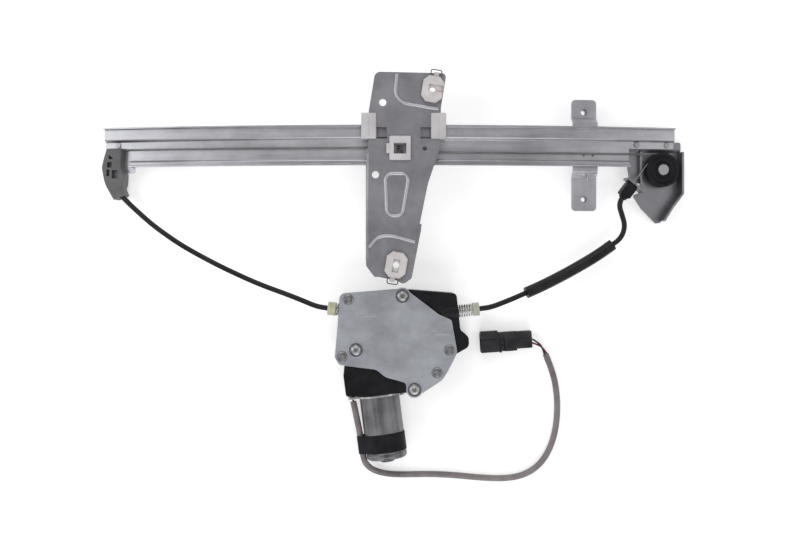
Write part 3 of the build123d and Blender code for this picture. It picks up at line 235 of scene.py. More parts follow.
# Plug of the lead: a moulded housing with a sloped side, a latch and an open end, in mm
plug = {
    "place": (0.1166, -0.1949), "turn": 3.6,
    # along, low and high across, low and high up, corner, width and drop of the slope
    "rows": [
        (-7.0, -7.6, 7.2, 2.2, 12.0, 0.5, 0.5, 0.5), (-25.6, -7.8, 7.4, 2.0, 12.2, 0.5, 0.5, 0.5),
        (-26.0, -9.8, 8.9, 0.6, 13.5, 0.7, 4.4, 2.2), (-25.5, -10.3, 9.4, 0.1, 14.0, 0.6, 4.9, 2.6),
        (-7.3, -10.1, 9.4, 0.1, 14.0, 0.6, 4.9, 2.6), (-7.0, -9.8, 9.2, 0.3, 12.5, 0.6, 4.7, 1.3),
        (-1.9, -9.8, 9.2, 0.3, 12.5, 0.6, 4.7, 1.3), (-1.6, -10.0, 9.3, 0.1, 14.0, 0.6, 4.8, 2.6),
        (10.2, -9.8, 9.3, 0.1, 14.0, 0.6, 4.8, 2.6), (10.5, -8.1, 9.1, 0.8, 13.3, 0.6, 4.6, 2.2),
        (25.5, -8.0, 9.0, 0.8, 13.3, 0.6, 4.5, 2.2), (26.0, -7.5, 8.5, 1.3, 12.8, 0.6, 4.2, 2.2),
    ],
    # blocks and ribs on it: along from and to, then as above
    "blocks": [
        (-25.6, -8.3, 3.6, 11.2, 3.0, 16.2, 0.7, 3.4, 2.4),
        (-8.6, 10.2, 3.9, 9.3, 6.0, 14.1, 0.4, 4.6, 2.6),
        (-6.6, -2.2, -2.6, 0.4, 12.0, 13.4, 0.3, 0.3, 0.3),
        (-5.9, -2.9, -8.6, -4.4, 12.0, 13.9, 0.3, 0.3, 0.3),
        (-7.0, -4.9, -11.2, -9.0, 4.5, 10.5, 0.4, 0.4, 0.4),
        (12.2, 24.4, -0.5, 0.5, 13.0, 13.7, 0.2, 0.2, 0.2),
        (-24.2, -9.4, -7.6, -7.0, 13.6, 14.35, 0.2, 0.2, 0.2),
        (0.4, 8.8, -7.6, -7.0, 13.6, 14.35, 0.2, 0.2, 0.2),
        (-24.2, -9.4, 2.2, 2.8, 13.6, 14.35, 0.2, 0.2, 0.2),
        (4.6, 5.5, -3.0, -2.1, 13.6, 14.3, 0.2, 0.2, 0.2),
    ],
    "dot": {"along": -16.6, "across": -3.2, "radius": 0.95, "low": 13.6, "high": 14.45, "steps": 16},
}


def plugSection(along, low, high, bottom, top, corner, slope, drop):
    ring = [(low, bottom + corner), (low + corner, bottom), (high - corner, bottom), (high, bottom + corner),
            (high, top - drop), (high - slope, top), (low + corner, top), (low, top - corner)]
    return [Vector((along, across, up)) * mm for across, up in ring]


def makePlug():
    place = Matrix.Translation(drawn(*plug["place"])) @ Matrix.Rotation(math.radians(plug["turn"]), 4, "Z")
    sections = [[plugSection(*row) for row in plug["rows"]]]
    for start, end, *row in plug["blocks"]:
        sections.append([plugSection(start, *row), plugSection(end, *row)])
    vertices, faces = [], []
    for rings in sections:
        faces += ringFaces(len(rings), len(rings[0]), len(vertices))
        vertices += [place @ point for ring in rings for point in ring]
    dot = plug["dot"]
    stand = place @ Matrix.Translation(Vector((dot["along"], dot["across"], 0)) * mm)
    profile = millimetres([(dot["radius"], dot["low"]), (dot["radius"], dot["high"])])
    points, skins = turned(profile, [stand], dot["steps"])
    faces += [tuple(len(vertices) + n for n in skin) for skin in skins]
    vertices += points
    return newPiece("plugHousing", vertices, faces, "connector_housing", crease=30)


plugHousing = makePlug()
print("plug made")


# Drum entries: the line on which each cable leaves the drum, through a spring and an end cap
entries = {
    "left": {"side": -1, "angle": 7.0, "height": 0.0278,
             "pocket": 0.0560, "cap": 0.0686, "capLength": 0.0082},
    "right": {"side": 1, "angle": 6.5, "height": 0.0318,
              "pocket": 0.0540, "cap": 0.0726, "capLength": 0.0062},
}
drumRadius = 0.020
spring = {"wire": 0.00150, "outer": 0.0063, "pitch": 0.0020, "play": 0.0001, "endTurns": 1, "endRise": 0.06,
          "perTurn": 28}
capRows = {"radius": 0.0067, "bore": 0.00265, "edge": 0.0006, "soften": 0.3, "mouth": 0.0008,
           "groove": 0.00035, "groovesAt": (0.36, 0.58)}


def entryFrame(end, distance):
    # z runs out along the cable
    turn = math.radians(end["angle"])
    side = end["side"]
    x = drawnDrum.x - side * drumRadius * math.sin(turn) + side * distance * math.cos(turn)
    y = drawnDrum.y + drumRadius * math.cos(turn) + distance * math.sin(turn)
    out = Vector((side * math.cos(turn), math.sin(turn), 0))
    up = Vector((0, 0, 1))
    axes = Matrix((up, out.cross(up), out)).transposed().to_4x4()
    return Matrix.Translation(drawn(x, y, end["height"])) @ axes


def makeSpring(name, end):
    # a coil that is nearly flat for half of its end turns at both ends
    wireRadius = spring["wire"] / 2
    start = end["pocket"] + wireRadius + spring["play"]
    length = end["cap"] - wireRadius - spring["play"] - start
    place = entryFrame(end, start)
    middle = spring["outer"] - wireRadius
    steps = round(length / spring["pitch"]) * spring["perTurn"]
    flat = spring["endTurns"] * spring["perTurn"] / 2
    points = []
    for n in range(steps + 1):
        angle = 2 * math.pi * n / spring["perTurn"]
        rise = min(max((n - flat) / (steps - 2 * flat), 0), 1)
        height = length * (spring["endRise"] * n / steps + (1 - spring["endRise"]) * rise)
        points.append(place @ Vector((middle * math.cos(angle), middle * math.sin(angle), height)))
    vertices, faces = roundWire(points, wireRadius)
    return newPiece(name + "Spring", vertices, faces, name + "_tension_spring")


def makeCap(name, end):
    # a ring with two grooves round it and a wider mouth
    length = end["capLength"]
    radius, bore, edge = capRows["radius"], capRows["bore"], capRows["edge"]
    mouth, groove = capRows["mouth"], capRows["groove"]
    soft = capRows["soften"] * edge
    rows = [(bore, 0), (radius - edge, 0), (radius - soft, soft), (radius, edge)]
    for share in capRows["groovesAt"]:
        place = length * share
        rows += [(radius, place - groove), (radius - groove, place),
                 (radius - groove, place + groove), (radius, place + 2 * groove)]
    rows += [(radius, length - edge), (radius - soft, length - soft), (radius - edge, length),
             (bore + mouth, length), (bore, length - mouth)]
    vertices, faces = turned(rows, [entryFrame(end, end["cap"])], closed=True)
    return newPiece(name + "Cap", vertices, faces, name + "_ferrule")


springs = [makeSpring(name, end) for name, end in entries.items()]
caps = [makeCap(name, end) for name, end in entries.items()]
print("springs and end caps made")


# Screws and rivets of the cover. A head's rows are radius and height in mm, and how far its socket waves
coverTop = 0.039
screws = {
    "places": [(0.0119, -0.1484), (-0.0337, -0.2013), (0.0237, -0.2402)], "seat": coverTop - 0.0012,
    "lobes": 6, "steps": 72,
    "head": [(2.2, -32.2), (2.5, -31.8), (2.5, 0.0), (5.2, 0.0), (5.4, 0.2), (5.4, 0.65), (5.2, 0.85),
             (4.62, 1.0), (4.5, 1.2), (4.5, 2.5), (4.3, 3.05), (3.9, 3.4), (3.4, 3.55), (2.62, 3.5),
             (2.12, 3.35, 0.34), (2.02, 3.1, 0.34), (1.9, 1.5, 0.32), (0.6, 1.3)],
}
rivets = {
    "places": [(-0.0411, -0.1519), (-0.0472, -0.2081), (0.0580, -0.2014), (0.0458, -0.2238)],
    "seat": coverTop - 0.0007, "steps": 48,
    "head": [(1.8, -6.3), (2.0, -6.1), (2.0, 0.0), (5.0, 0.0), (5.25, 0.2), (5.25, 0.95), (5.0, 1.2),
             (4.75, 1.2), (4.4, 0.95), (3.75, 0.85), (3.4, 1.0), (3.15, 1.5), (2.6, 2.0), (1.9, 2.15),
             (1.3, 2.05), (0.95, 1.75), (0.5, 1.65)],
}


def makeHeads(name, node, kind):
    places = [Matrix.Translation(drawn(x, y, kind["seat"])) for x, y in kind["places"]]
    vertices, faces = turned(millimetres(kind["head"]), places, kind["steps"], lobes=kind.get("lobes", 0))
    return newPiece(name, vertices, faces, node, crease=30)


driveScrews = makeHeads("driveScrews", "cover_screws", screws)
rivetHeads = makeHeads("coverRivetHeads", "cover_rivets", rivets)
print("screws and rivets made")


# Bare cable along the rail: six strands round a core, stretched between its end and the slider
cable = {"core": 0.00028, "strand": 0.00025, "around": 0.00050, "strands": 6, "sides": 6, "lay": 0.011,
         "step": 0.0013, "height": 0.0030}
runs = {
    "left": {"start": -0.2662, "end": -0.0013, "y": -0.0022, "node": "cable_run_left"},
    "right": {"start": 0.2731, "end": 0.0203, "y": -0.0067, "node": "cable_run_right"},
}


def strandedLine(points):
    vertices, faces = roundWire(points, cable["core"], cable["sides"])
    lines = crossFrames(points)
    travelled = [0.0]
    for before, after in zip(points, points[1:]):
        travelled.append(travelled[-1] + (after - before).length)
    for strand in range(cable["strands"]):
        line = []
        for (point, ahead, side, up), gone in zip(lines, travelled):
            angle = 2 * math.pi * (strand / cable["strands"] + gone / cable["lay"])
            line.append(point + (side * math.cos(angle) + up * math.sin(angle)) * cable["around"])
        more, skins = roundWire(line, cable["strand"], cable["sides"], len(vertices))
        vertices += more
        faces += skins
    return vertices, faces


def makeRun(name, run):
    count = int(abs(run["end"] - run["start"]) / cable["step"])
    points = []
    for n in range(count + 1):
        x = run["start"] + (run["end"] - run["start"]) * n / count
        points.append(railFrame(x) @ Vector((0, run["y"], cable["height"])))
    vertices, faces = strandedLine(points)
    piece = newPiece(name + "CableRun", vertices, faces, run["node"], body=None)
    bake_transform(piece)
    return piece


cableRuns = [makeRun(name, run) for name, run in runs.items()]
print("cable runs made")


# Thin sheet forms: the rail's end tab beside the left guide, a painted highlight strip on the carrier's
# rolled left edge and the wear strips in the shoes, in mm on the flat frame at their place along the rail
carrier = {"rail": 0.013, "top": 0.0136, "beadsFrom": 0.00005, "beadsTo": 0.00125}
sheets = {
    "railEndTab": {
        "at": -0.2662, "body": "root", "low": -1.5, "high": -0.1, "corner": 2.4,
        "outline": [(-2.3, -1.4), (-2.3, -19.4), (-0.5, -25.4), (8.2, -25.4), (8.2, -1.4)],
    },
    # a flat strip of the lighter zinc along the carrier's left edge, a painted highlight of the rolled edge
    "carrierEdgeHighlightStrip": {
        "at": carrier["rail"], "body": "carrier", "low": 13.4, "high": 13.78, "corner": 0.9,
        "outline": [(-36.9, -71.0), (-36.6, -112.0), (-34.3, -112.0), (-34.6, -71.0), (-34.0, -9.0),
                    (-36.1, -9.0)],
    },
}
shoeStrip = {"middle": 34.1, "halfWidth": 0.56, "from": 8.15, "to": 27.45}
for name, side in (("leftShoeStrip", -1), ("rightShoeStrip", 1)):
    near = side * shoeStrip["middle"] - shoeStrip["halfWidth"]
    far = side * shoeStrip["middle"] + shoeStrip["halfWidth"]
    sheets[name] = {
        "at": carrier["rail"], "body": "carrier", "slot": "white_plastic",
        "low": 14.45, "high": 15.22, "corner": 0.3,
        "outline": [(near, shoeStrip["from"]), (far, shoeStrip["from"]), (far, shoeStrip["to"]),
                    (near, shoeStrip["to"])],
    }


def roundedOutline(outline, radius, steps=5):
    # each corner becomes a short curve between points at the radius from it
    points = []
    for n, corner in enumerate(outline):
        corner = Vector(corner)
        toBack = Vector(outline[n - 1]) - corner
        toNext = Vector(outline[(n + 1) % len(outline)]) - corner
        start = corner + toBack.normalized() * min(radius, toBack.length / 2)
        end = corner + toNext.normalized() * min(radius, toNext.length / 2)
        for step in range(steps + 1):
            part = step / steps
            points.append(start.lerp(corner, part).lerp(corner.lerp(end, part), part))
    return points


def makeSheet(name, sheet):
    outline = roundedOutline(sheet["outline"], sheet["corner"])
    flat = railFrame(sheet["at"])
    vertices = [flat @ (Vector((*point, height)) * mm) for height in (sheet["low"], sheet["high"])
                for point in outline]
    return newPiece(name, vertices, ringFaces(2, len(outline)), None, sheet["body"], crease=30)


sheetPieces = {name: makeSheet(name, sheet) for name, sheet in sheets.items()}
print("sheet forms made")


# Weld beads that hold the strap to the lower edge of the rail, in lines of x and y
welds = {
    "lines": [[(0.1868, -0.0262), (0.1895, -0.0263), (0.1922, -0.0264), (0.1948, -0.0270)],
              [(0.1978, -0.0246), (0.1979, -0.0278), (0.1981, -0.0308), (0.1986, -0.0330)],
              [(0.2034, -0.0266), (0.2056, -0.0264), (0.2080, -0.0263), (0.2092, -0.0262)]],
    "radius": 0.00100, "sides": 10, "sunk": 0.00025, "ripple": 0.00030, "ripplesPerMetre": 900,
    "step": 0.0005,
}
aboveAll = 0.1  # where a ray down to a surface starts


def surfaceOf(node):
    mesh = frame["nodes"][node].data
    corners = [corner.co for corner in mesh.vertices]
    return BVHTree.FromPolygons(corners, [face.vertices for face in mesh.polygons])


def dropped(surface, x, y):
    # the highest point of a surface at x and y, or None beside it
    return surface.ray_cast(drawn(x, y, aboveAll), Vector((0, 0, -1)))[0]


def makeWelds():
    strap = surfaceOf("rail_mount_strap")
    vertices, faces = [], []
    for n, line in enumerate(welds["lines"]):
        points = []
        for (x0, y0), (x1, y1) in zip(line, line[1:]):
            count = max(2, int(math.hypot(x1 - x0, y1 - y0) / welds["step"]))
            for part in range(count):
                spot = dropped(strap, x0 + (x1 - x0) * part / count, y0 + (y1 - y0) * part / count)
                if spot:
                    ripple = noise.noise(spot * welds["ripplesPerMetre"] + Vector((0, 0, n)))
                    lift = ripple * welds["ripple"] - welds["sunk"]
                    points.append(spot + Vector((0, lift, lift)))
        more, skins = roundWire(points, welds["radius"], welds["sides"], len(vertices))
        vertices += more
        faces += skins
    return newPiece("strapWelds", vertices, faces, None, crease=80)


strapWelds = makeWelds()
print("weld beads made")


# Cloth tape round the motor can and the lead, wound with overlapping turns
canSection = {"halfFlat": 0.0045, "radius": 0.0155}
tape = {
    "from": -0.1109, "width": 0.0182, "outlineSteps": 720, "turns": 2.35, "startsAt": 0.13, "perTurn": 150,
    "across": 12, "first": 0.00027, "layer": 0.00017, "layerShare": 0.85,
    # lean of the turns, wrinkles of the cloth and fray of its edges: how far, and how fast they change
    "lean": 0.0007, "leanRate": 2.1, "leanStart": 0.6, "wrinkle": 0.00007, "wrinkleRate": (9, 5, 3.1),
    "fineRate": 2.7, "fineShare": 0.6, "fray": 0.00025, "frayRate": (14, 7.7, 1.2), "margin": 0.0006,
}


def tapePath():
    # outline round the can and the lead, from the outermost points of both in every direction
    rounds = [(canSection["halfFlat"], canSection["radius"]), (-canSection["halfFlat"], canSection["radius"]),
              (lead["alongMotor"][-1][1], lead["diameter"] / 2)]
    outline = []
    for n in range(tape["outlineSteps"]):
        angle = 2 * math.pi * n / tape["outlineSteps"]
        way = Vector((math.cos(angle), math.sin(angle)))
        side, radius = max(rounds, key=lambda pair: pair[0] * way.x + pair[1])
        outline.append((Vector((side, 0)) + way * radius, way))
    length = [0.0]
    for before, after in zip(outline, outline[1:] + outline[:1]):
        length.append(length[-1] + (after[0] - before[0]).length)
    return outline, length


def onPath(outline, length, share):
    # point and outward way at a share of the way round
    gone = (share % 1.0) * length[-1]
    low = max(n for n, value in enumerate(length[:-1]) if value <= gone)
    after = (low + 1) % len(outline)
    part = (gone - length[low]) / (length[low + 1] - length[low])
    point = outline[low][0].lerp(outline[after][0], part)
    way = outline[low][1].lerp(outline[after][1], part).normalized()
    return point, way


def noisePlace(rates, turns, across):
    # where a noise is read, by how fast it changes round the tape and across it
    return Vector((turns * rates[0], across * rates[1], rates[2]))


def tapePoint(point, way, turns, across, skin):
    # a point of the tape in the motor's frame, on its inner skin 0 or its outer skin 1
    wrinkles = noisePlace(tape["wrinkleRate"], turns, across)
    rough = noise.noise(wrinkles) + tape["fineShare"] * noise.noise(wrinkles * tape["fineRate"])
    rise = tape["first"] + tape["layer"] * (turns + tape["layerShare"] * skin) + tape["wrinkle"] * rough
    fray = tape["fray"] * noise.noise(noisePlace(tape["frayRate"], turns, round(across)))
    lean = tape["lean"] * math.sin(tape["leanRate"] * turns + tape["leanStart"])
    along = tape["from"] + tape["margin"] + lean + fray + across * (tape["width"] - 2 * tape["margin"])
    spot = point + way * rise
    return Vector((along, spot.x, spot.y))


def tapeFaces(steps, columns):
    # both skins, the two long edges, and the two ends
    row = 2 * columns
    faces = []
    for n in range(steps):
        near = n * row
        far = near + row
        for c in range(columns - 1):
            upper = columns + c
            faces.append((near + c, near + c + 1, far + c + 1, far + c))
            faces.append((near + upper, far + upper, far + upper + 1, near + upper + 1))
        faces.append((near, far, far + columns, near + columns))
        faces.append((near + columns - 1, near + row - 1, far + row - 1, far + columns - 1))
    last = steps * row
    for c in range(columns - 1):
        faces.append((c, c + columns, c + columns + 1, c + 1))
        faces.append((last + c, last + c + 1, last + c + columns + 1, last + c + columns))
    return faces


def makeTape():
    outline, length = tapePath()
    motor = motorFrame()
    steps = int(tape["turns"] * tape["perTurn"])
    columns = tape["across"] + 1
    vertices = []
    for n in range(steps + 1):
        turns = n / tape["perTurn"]
        point, way = onPath(outline, length, turns + tape["startsAt"])
        for skin in (0, 1):
            for c in range(columns):
                vertices.append(motor @ tapePoint(point, way, turns, c / tape["across"], skin))
    return newPiece("clothTapeWrap", vertices, tapeFaces(steps, columns), "tape_wrap")


tapeWrap = makeTape()
print("tape wound")


# Drawn bottom of the motor can, a ring round its end bush: place along the motor and radius, in mm
canBottom = {
    "steps": 64,
    "rows": [(-112.9, 15.52), (-113.1, 15.62), (-116.2, 15.55), (-117.5, 14.9), (-118.4, 13.6),
             (-118.9, 11.8), (-119.1, 9.6), (-118.7, 8.4), (-118.7, 2.4), (-118.2, 2.4), (-118.2, 9.0),
             (-117.6, 12.6), (-116.6, 14.3), (-112.9, 15.1)],
}


def makeCanBottom():
    motor = motorFrame()
    vertices = []
    for along, radius in millimetres(canBottom["rows"]):
        for n in range(canBottom["steps"]):
            angle = 2 * math.pi * (n + 0.5) / canBottom["steps"]
            across = radius * math.cos(angle) + math.copysign(canSection["halfFlat"], math.cos(angle))
            vertices.append(motor @ Vector((along, across, radius * math.sin(angle))))
    faces = ringFaces(len(canBottom["rows"]), canBottom["steps"], closed=True)
    return newPiece("canBottom", vertices, faces, None, crease=60)


# Small press marks on the rail's web beside the cable, over the strap, with rows in mm as on the screws
marks = {
    "places": [(0.1928, -0.0083), (0.2021, -0.0085)], "lobes": 3, "steps": 20,
    "rows": [(1.2, -0.2, 0.05), (1.2, 0.1, 0.05), (0.95, 0.16, 0.05), (0.7, 0.04, 0.05), (0.25, 0.0, 0.05)],
}


def makeMarks():
    rail = surfaceOf("guide_rail")
    places = [Matrix.Translation(dropped(rail, x, y)) for x, y in marks["places"]]
    vertices, faces = turned(millimetres(marks["rows"]), places, marks["steps"], lobes=marks["lobes"])
    return newPiece("railPressMarks", vertices, faces, None, crease=80)


canEnd = makeCanBottom()
pressMarks = makeMarks()
print("can bottom and press marks made")


# Shader node groups that several materials share

def newGroup(name, inputs, outputs):
    group = bpy.data.node_groups.new(name, "ShaderNodeTree")
    for label, value in inputs.items():
        kind = "NodeSocketVector" if isinstance(value, tuple) else "NodeSocketFloat"
        socket = group.interface.new_socket(name=label, in_out="INPUT", socket_type=kind)
        socket.default_value = value
    for label in outputs:
        group.interface.new_socket(name=label, in_out="OUTPUT", socket_type="NodeSocketFloat")
    entry = group.nodes.new("NodeGroupInput")
    leave = group.nodes.new("NodeGroupOutput")
    return group, entry, leave


def mathNode(tree, operation, first, second=None, clamp=False):
    node = tree.nodes.new("ShaderNodeMath")
    node.operation = operation
    node.use_clamp = clamp
    for socket, value in zip(node.inputs, (first, second)):
        if isinstance(value, (int, float)):
            socket.default_value = value
        elif value is not None:
            tree.links.new(value, socket)
    return node.outputs[0]


def noiseNode(tree, vector, scale, detail=3, rough=0.5):
    node = tree.nodes.new("ShaderNodeTexNoise")
    node.inputs["Detail"].default_value = detail
    node.inputs["Roughness"].default_value = rough
    if isinstance(scale, (int, float)):
        node.inputs["Scale"].default_value = scale
    else:
        tree.links.new(scale, node.inputs["Scale"])
    tree.links.new(vector, node.inputs["Vector"])
    return node.outputs["Fac"]


def objectPlace(tree):
    return tree.nodes.new("ShaderNodeTexCoord").outputs["Object"]


def spread(tree, value, low, high):
    # stretches the middle of a noise over the whole of 0 to 1
    node = tree.nodes.new("ShaderNodeMapRange")
    node.inputs["From Min"].default_value = low
    node.inputs["From Max"].default_value = high
    tree.links.new(value, node.inputs["Value"])
    return node.outputs["Result"]


def makeEdgeWearAndSheen():
    # mask is 1 where two faces meet at an edge, broken up by a fine noise; it lightens edges for wear and for
    # painted sheen
    group, entry, leave = newGroup("edgeWearAndSheen", {"Reach": 0.0006, "Breakup": 400.0}, ["Mask"])
    bevel = group.nodes.new("ShaderNodeBevel")
    bevel.samples = 6
    group.links.new(entry.outputs["Reach"], bevel.inputs["Radius"])
    facing = group.nodes.new("ShaderNodeNewGeometry")
    dot = group.nodes.new("ShaderNodeVectorMath")
    dot.operation = "DOT_PRODUCT"
    group.links.new(bevel.outputs["Normal"], dot.inputs[0])
    group.links.new(facing.outputs["Normal"], dot.inputs[1])
    bend = mathNode(group, "SUBTRACT", 1.0, dot.outputs["Value"])
    edge = spread(group, bend, low=0.02, high=0.16)
    rub = spread(group, noiseNode(group, objectPlace(group), entry.outputs["Breakup"]), low=0.35, high=0.62)
    group.links.new(mathNode(group, "MULTIPLY", edge, rub, clamp=True), leave.inputs["Mask"])
    return group


def makeRolledGrain():
    # long thin streaks from rolling, and a fine grain for bump
    inputs = {"Stretch": (20, 900, 900), "Turn": 0.0}
    group, entry, leave = newGroup("rolledGrain", inputs, ["Streaks", "Grain"])
    turn = group.nodes.new("ShaderNodeVectorRotate")
    turn.rotation_type = "Z_AXIS"
    group.links.new(objectPlace(group), turn.inputs["Vector"])
    group.links.new(entry.outputs["Turn"], turn.inputs["Angle"])
    scaled = group.nodes.new("ShaderNodeVectorMath")
    scaled.operation = "MULTIPLY"
    group.links.new(turn.outputs["Vector"], scaled.inputs[0])
    group.links.new(entry.outputs["Stretch"], scaled.inputs[1])
    streaks = noiseNode(group, scaled.outputs[0], scale=0.12, detail=4, rough=0.6)
    grain = noiseNode(group, scaled.outputs[0], scale=1.0, detail=2, rough=0.7)
    group.links.new(spread(group, streaks, low=0.3, high=0.7), leave.inputs["Streaks"])
    group.links.new(grain, leave.inputs["Grain"])
    return group


def makeHandling():
    # soft clouds from handling and storage, small dark specks, and a zinc spangle
    inputs = {"Cloud Scale": 22.0, "Speck Scale": 700.0}
    group, entry, leave = newGroup("handling", inputs, ["Clouds", "Specks", "Spangle"])
    place = objectPlace(group)
    clouds = noiseNode(group, place, entry.outputs["Cloud Scale"], detail=5, rough=0.62)
    specks = noiseNode(group, place, entry.outputs["Speck Scale"], detail=2)
    cells = group.nodes.new("ShaderNodeTexVoronoi")
    cells.inputs["Scale"].default_value = 260.0
    group.links.new(place, cells.inputs["Vector"])
    shade = group.nodes.new("ShaderNodeSeparateColor")
    group.links.new(cells.outputs["Color"], shade.inputs[0])
    group.links.new(spread(group, clouds, low=0.32, high=0.68), leave.inputs["Clouds"])
    group.links.new(spread(group, specks, low=0.66, high=0.74), leave.inputs["Specks"])
    group.links.new(shade.outputs[0], leave.inputs["Spangle"])
    return group


def makeMouldedSkin():
    # fine pebbling of a moulded or rubber surface, with flow marks
    inputs = {"Pebble Scale": 1600.0, "Flow Scale": 60.0}
    group, entry, leave = newGroup("mouldedSkin", inputs, ["Pebbles", "Flow"])
    place = objectPlace(group)
    pebbles = noiseNode(group, place, entry.outputs["Pebble Scale"], rough=0.6)
    flow = noiseNode(group, place, entry.outputs["Flow Scale"], detail=4, rough=0.55)
    group.links.new(pebbles, leave.inputs["Pebbles"])
    group.links.new(spread(group, flow, low=0.3, high=0.7), leave.inputs["Flow"])
    return group


def makePaintedCreviceShade():
    # mask is 1 deep in corners, gaps and dimples, where it paints shade into the colour
    group, entry, leave = newGroup("paintedCreviceShade", {"Reach": 0.003}, ["Mask"])
    shade = group.nodes.new("ShaderNodeAmbientOcclusion")
    shade.samples = 8
    group.links.new(entry.outputs["Reach"], shade.inputs["Distance"])
    deep = spread(group, mathNode(group, "SUBTRACT", 1.0, shade.outputs["AO"]), low=0.12, high=0.72)
    shadeBreakup = mathNode(group, "ADD", noiseNode(group, objectPlace(group), scale=350.0), 0.45)
    group.links.new(mathNode(group, "MULTIPLY", deep, shadeBreakup, clamp=True), leave.inputs["Mask"])
    return group


groups = {"edgeWearAndSheen": makeEdgeWearAndSheen(), "rolledGrain": makeRolledGrain(), "handling": makeHandling(),
          "mouldedSkin": makeMouldedSkin(), "paintedCreviceShade": makePaintedCreviceShade()}
print("node groups made")


# Materials

def newMaterial(name):
    material = bpy.data.materials.new(name)
    material.use_nodes = True
    tree = material.node_tree
    tree.nodes.clear()
    shader = tree.nodes.new("ShaderNodeBsdfPrincipled")
    output = tree.nodes.new("ShaderNodeOutputMaterial")
    tree.links.new(shader.outputs[0], output.inputs["Surface"])
    return material, tree, shader


def placeGroup(tree, name, **values):
    node = tree.nodes.new("ShaderNodeGroup")
    node.node_tree = groups[name]
    for label, value in values.items():
        node.inputs[label.replace("_", " ")].default_value = value
    return node


def mixColours(tree, share, first, second):
    node = tree.nodes.new("ShaderNodeMix")
    node.data_type = "RGBA"
    tree.links.new(share, node.inputs["Factor"])
    for socket, value in ((node.inputs[6], first), (node.inputs[7], second)):
        if isinstance(value, tuple):
            socket.default_value = (*value, 1.0)
        else:
            tree.links.new(value, socket)
    return node.outputs[2]


def weighted(tree, start, *terms):
    # start plus each value, less a half, times its weight
    total = start
    for value, weight in terms:
        part = mathNode(tree, "MULTIPLY", mathNode(tree, "SUBTRACT", value, 0.5), weight)
        total = mathNode(tree, "ADD", part, total)
    return mathNode(tree, "ADD", total, 0.0, clamp=True)


def toned(colour, factor):
    return tuple(min(1, value * factor) for value in colour)


def bumped(tree, shader, height, strength, distance=0.0001, softness=0.0003):
    # a fine bump over edges that are rounded as a real pressing or moulding is
    bevel = tree.nodes.new("ShaderNodeBevel")
    bevel.samples = 4
    bevel.inputs["Radius"].default_value = softness
    bump = tree.nodes.new("ShaderNodeBump")
    bump.inputs["Strength"].default_value = strength
    bump.inputs["Distance"].default_value = distance
    tree.links.new(height, bump.inputs["Height"])
    tree.links.new(bevel.outputs["Normal"], bump.inputs["Normal"])
    tree.links.new(bump.outputs["Normal"], shader.inputs["Normal"])


# Tones of painted corner shade, dark specks, painted bead highlight, and edges lightened by wear and painted
# sheen, as factors of a look's dark or light colour
tones = {"paintedShade": 0.22, "specks": 0.4, "beadHighlight": 1.9, "wornAndSheen": 1.6}


def withPaintedCornerShade(tree, colour, look):
    # the same colour, with painted shade darkening it down in the corners
    paintedShade = placeGroup(tree, "paintedCreviceShade")
    amount = mathNode(tree, "MULTIPLY", paintedShade.outputs["Mask"], look.get("paintedShade", 0.5))
    return mixColours(tree, amount, colour, toned(look["dark"], tones["paintedShade"]))


def paintedBeadHighlightMask(tree):
    # mask is 1 on the beads, which stand above the carrier's flat plate and get a painted highlight
    flat = railFrame(carrier["rail"])
    up = flat.to_3x3().col[2]
    level = (flat @ Vector((0, 0, carrier["top"]))).dot(up)
    height = tree.nodes.new("ShaderNodeVectorMath")
    height.operation = "DOT_PRODUCT"
    height.inputs[1].default_value = up
    tree.links.new(objectPlace(tree), height.inputs[0])
    return spread(tree, height.outputs["Value"], level + carrier["beadsFrom"], level + carrier["beadsTo"])


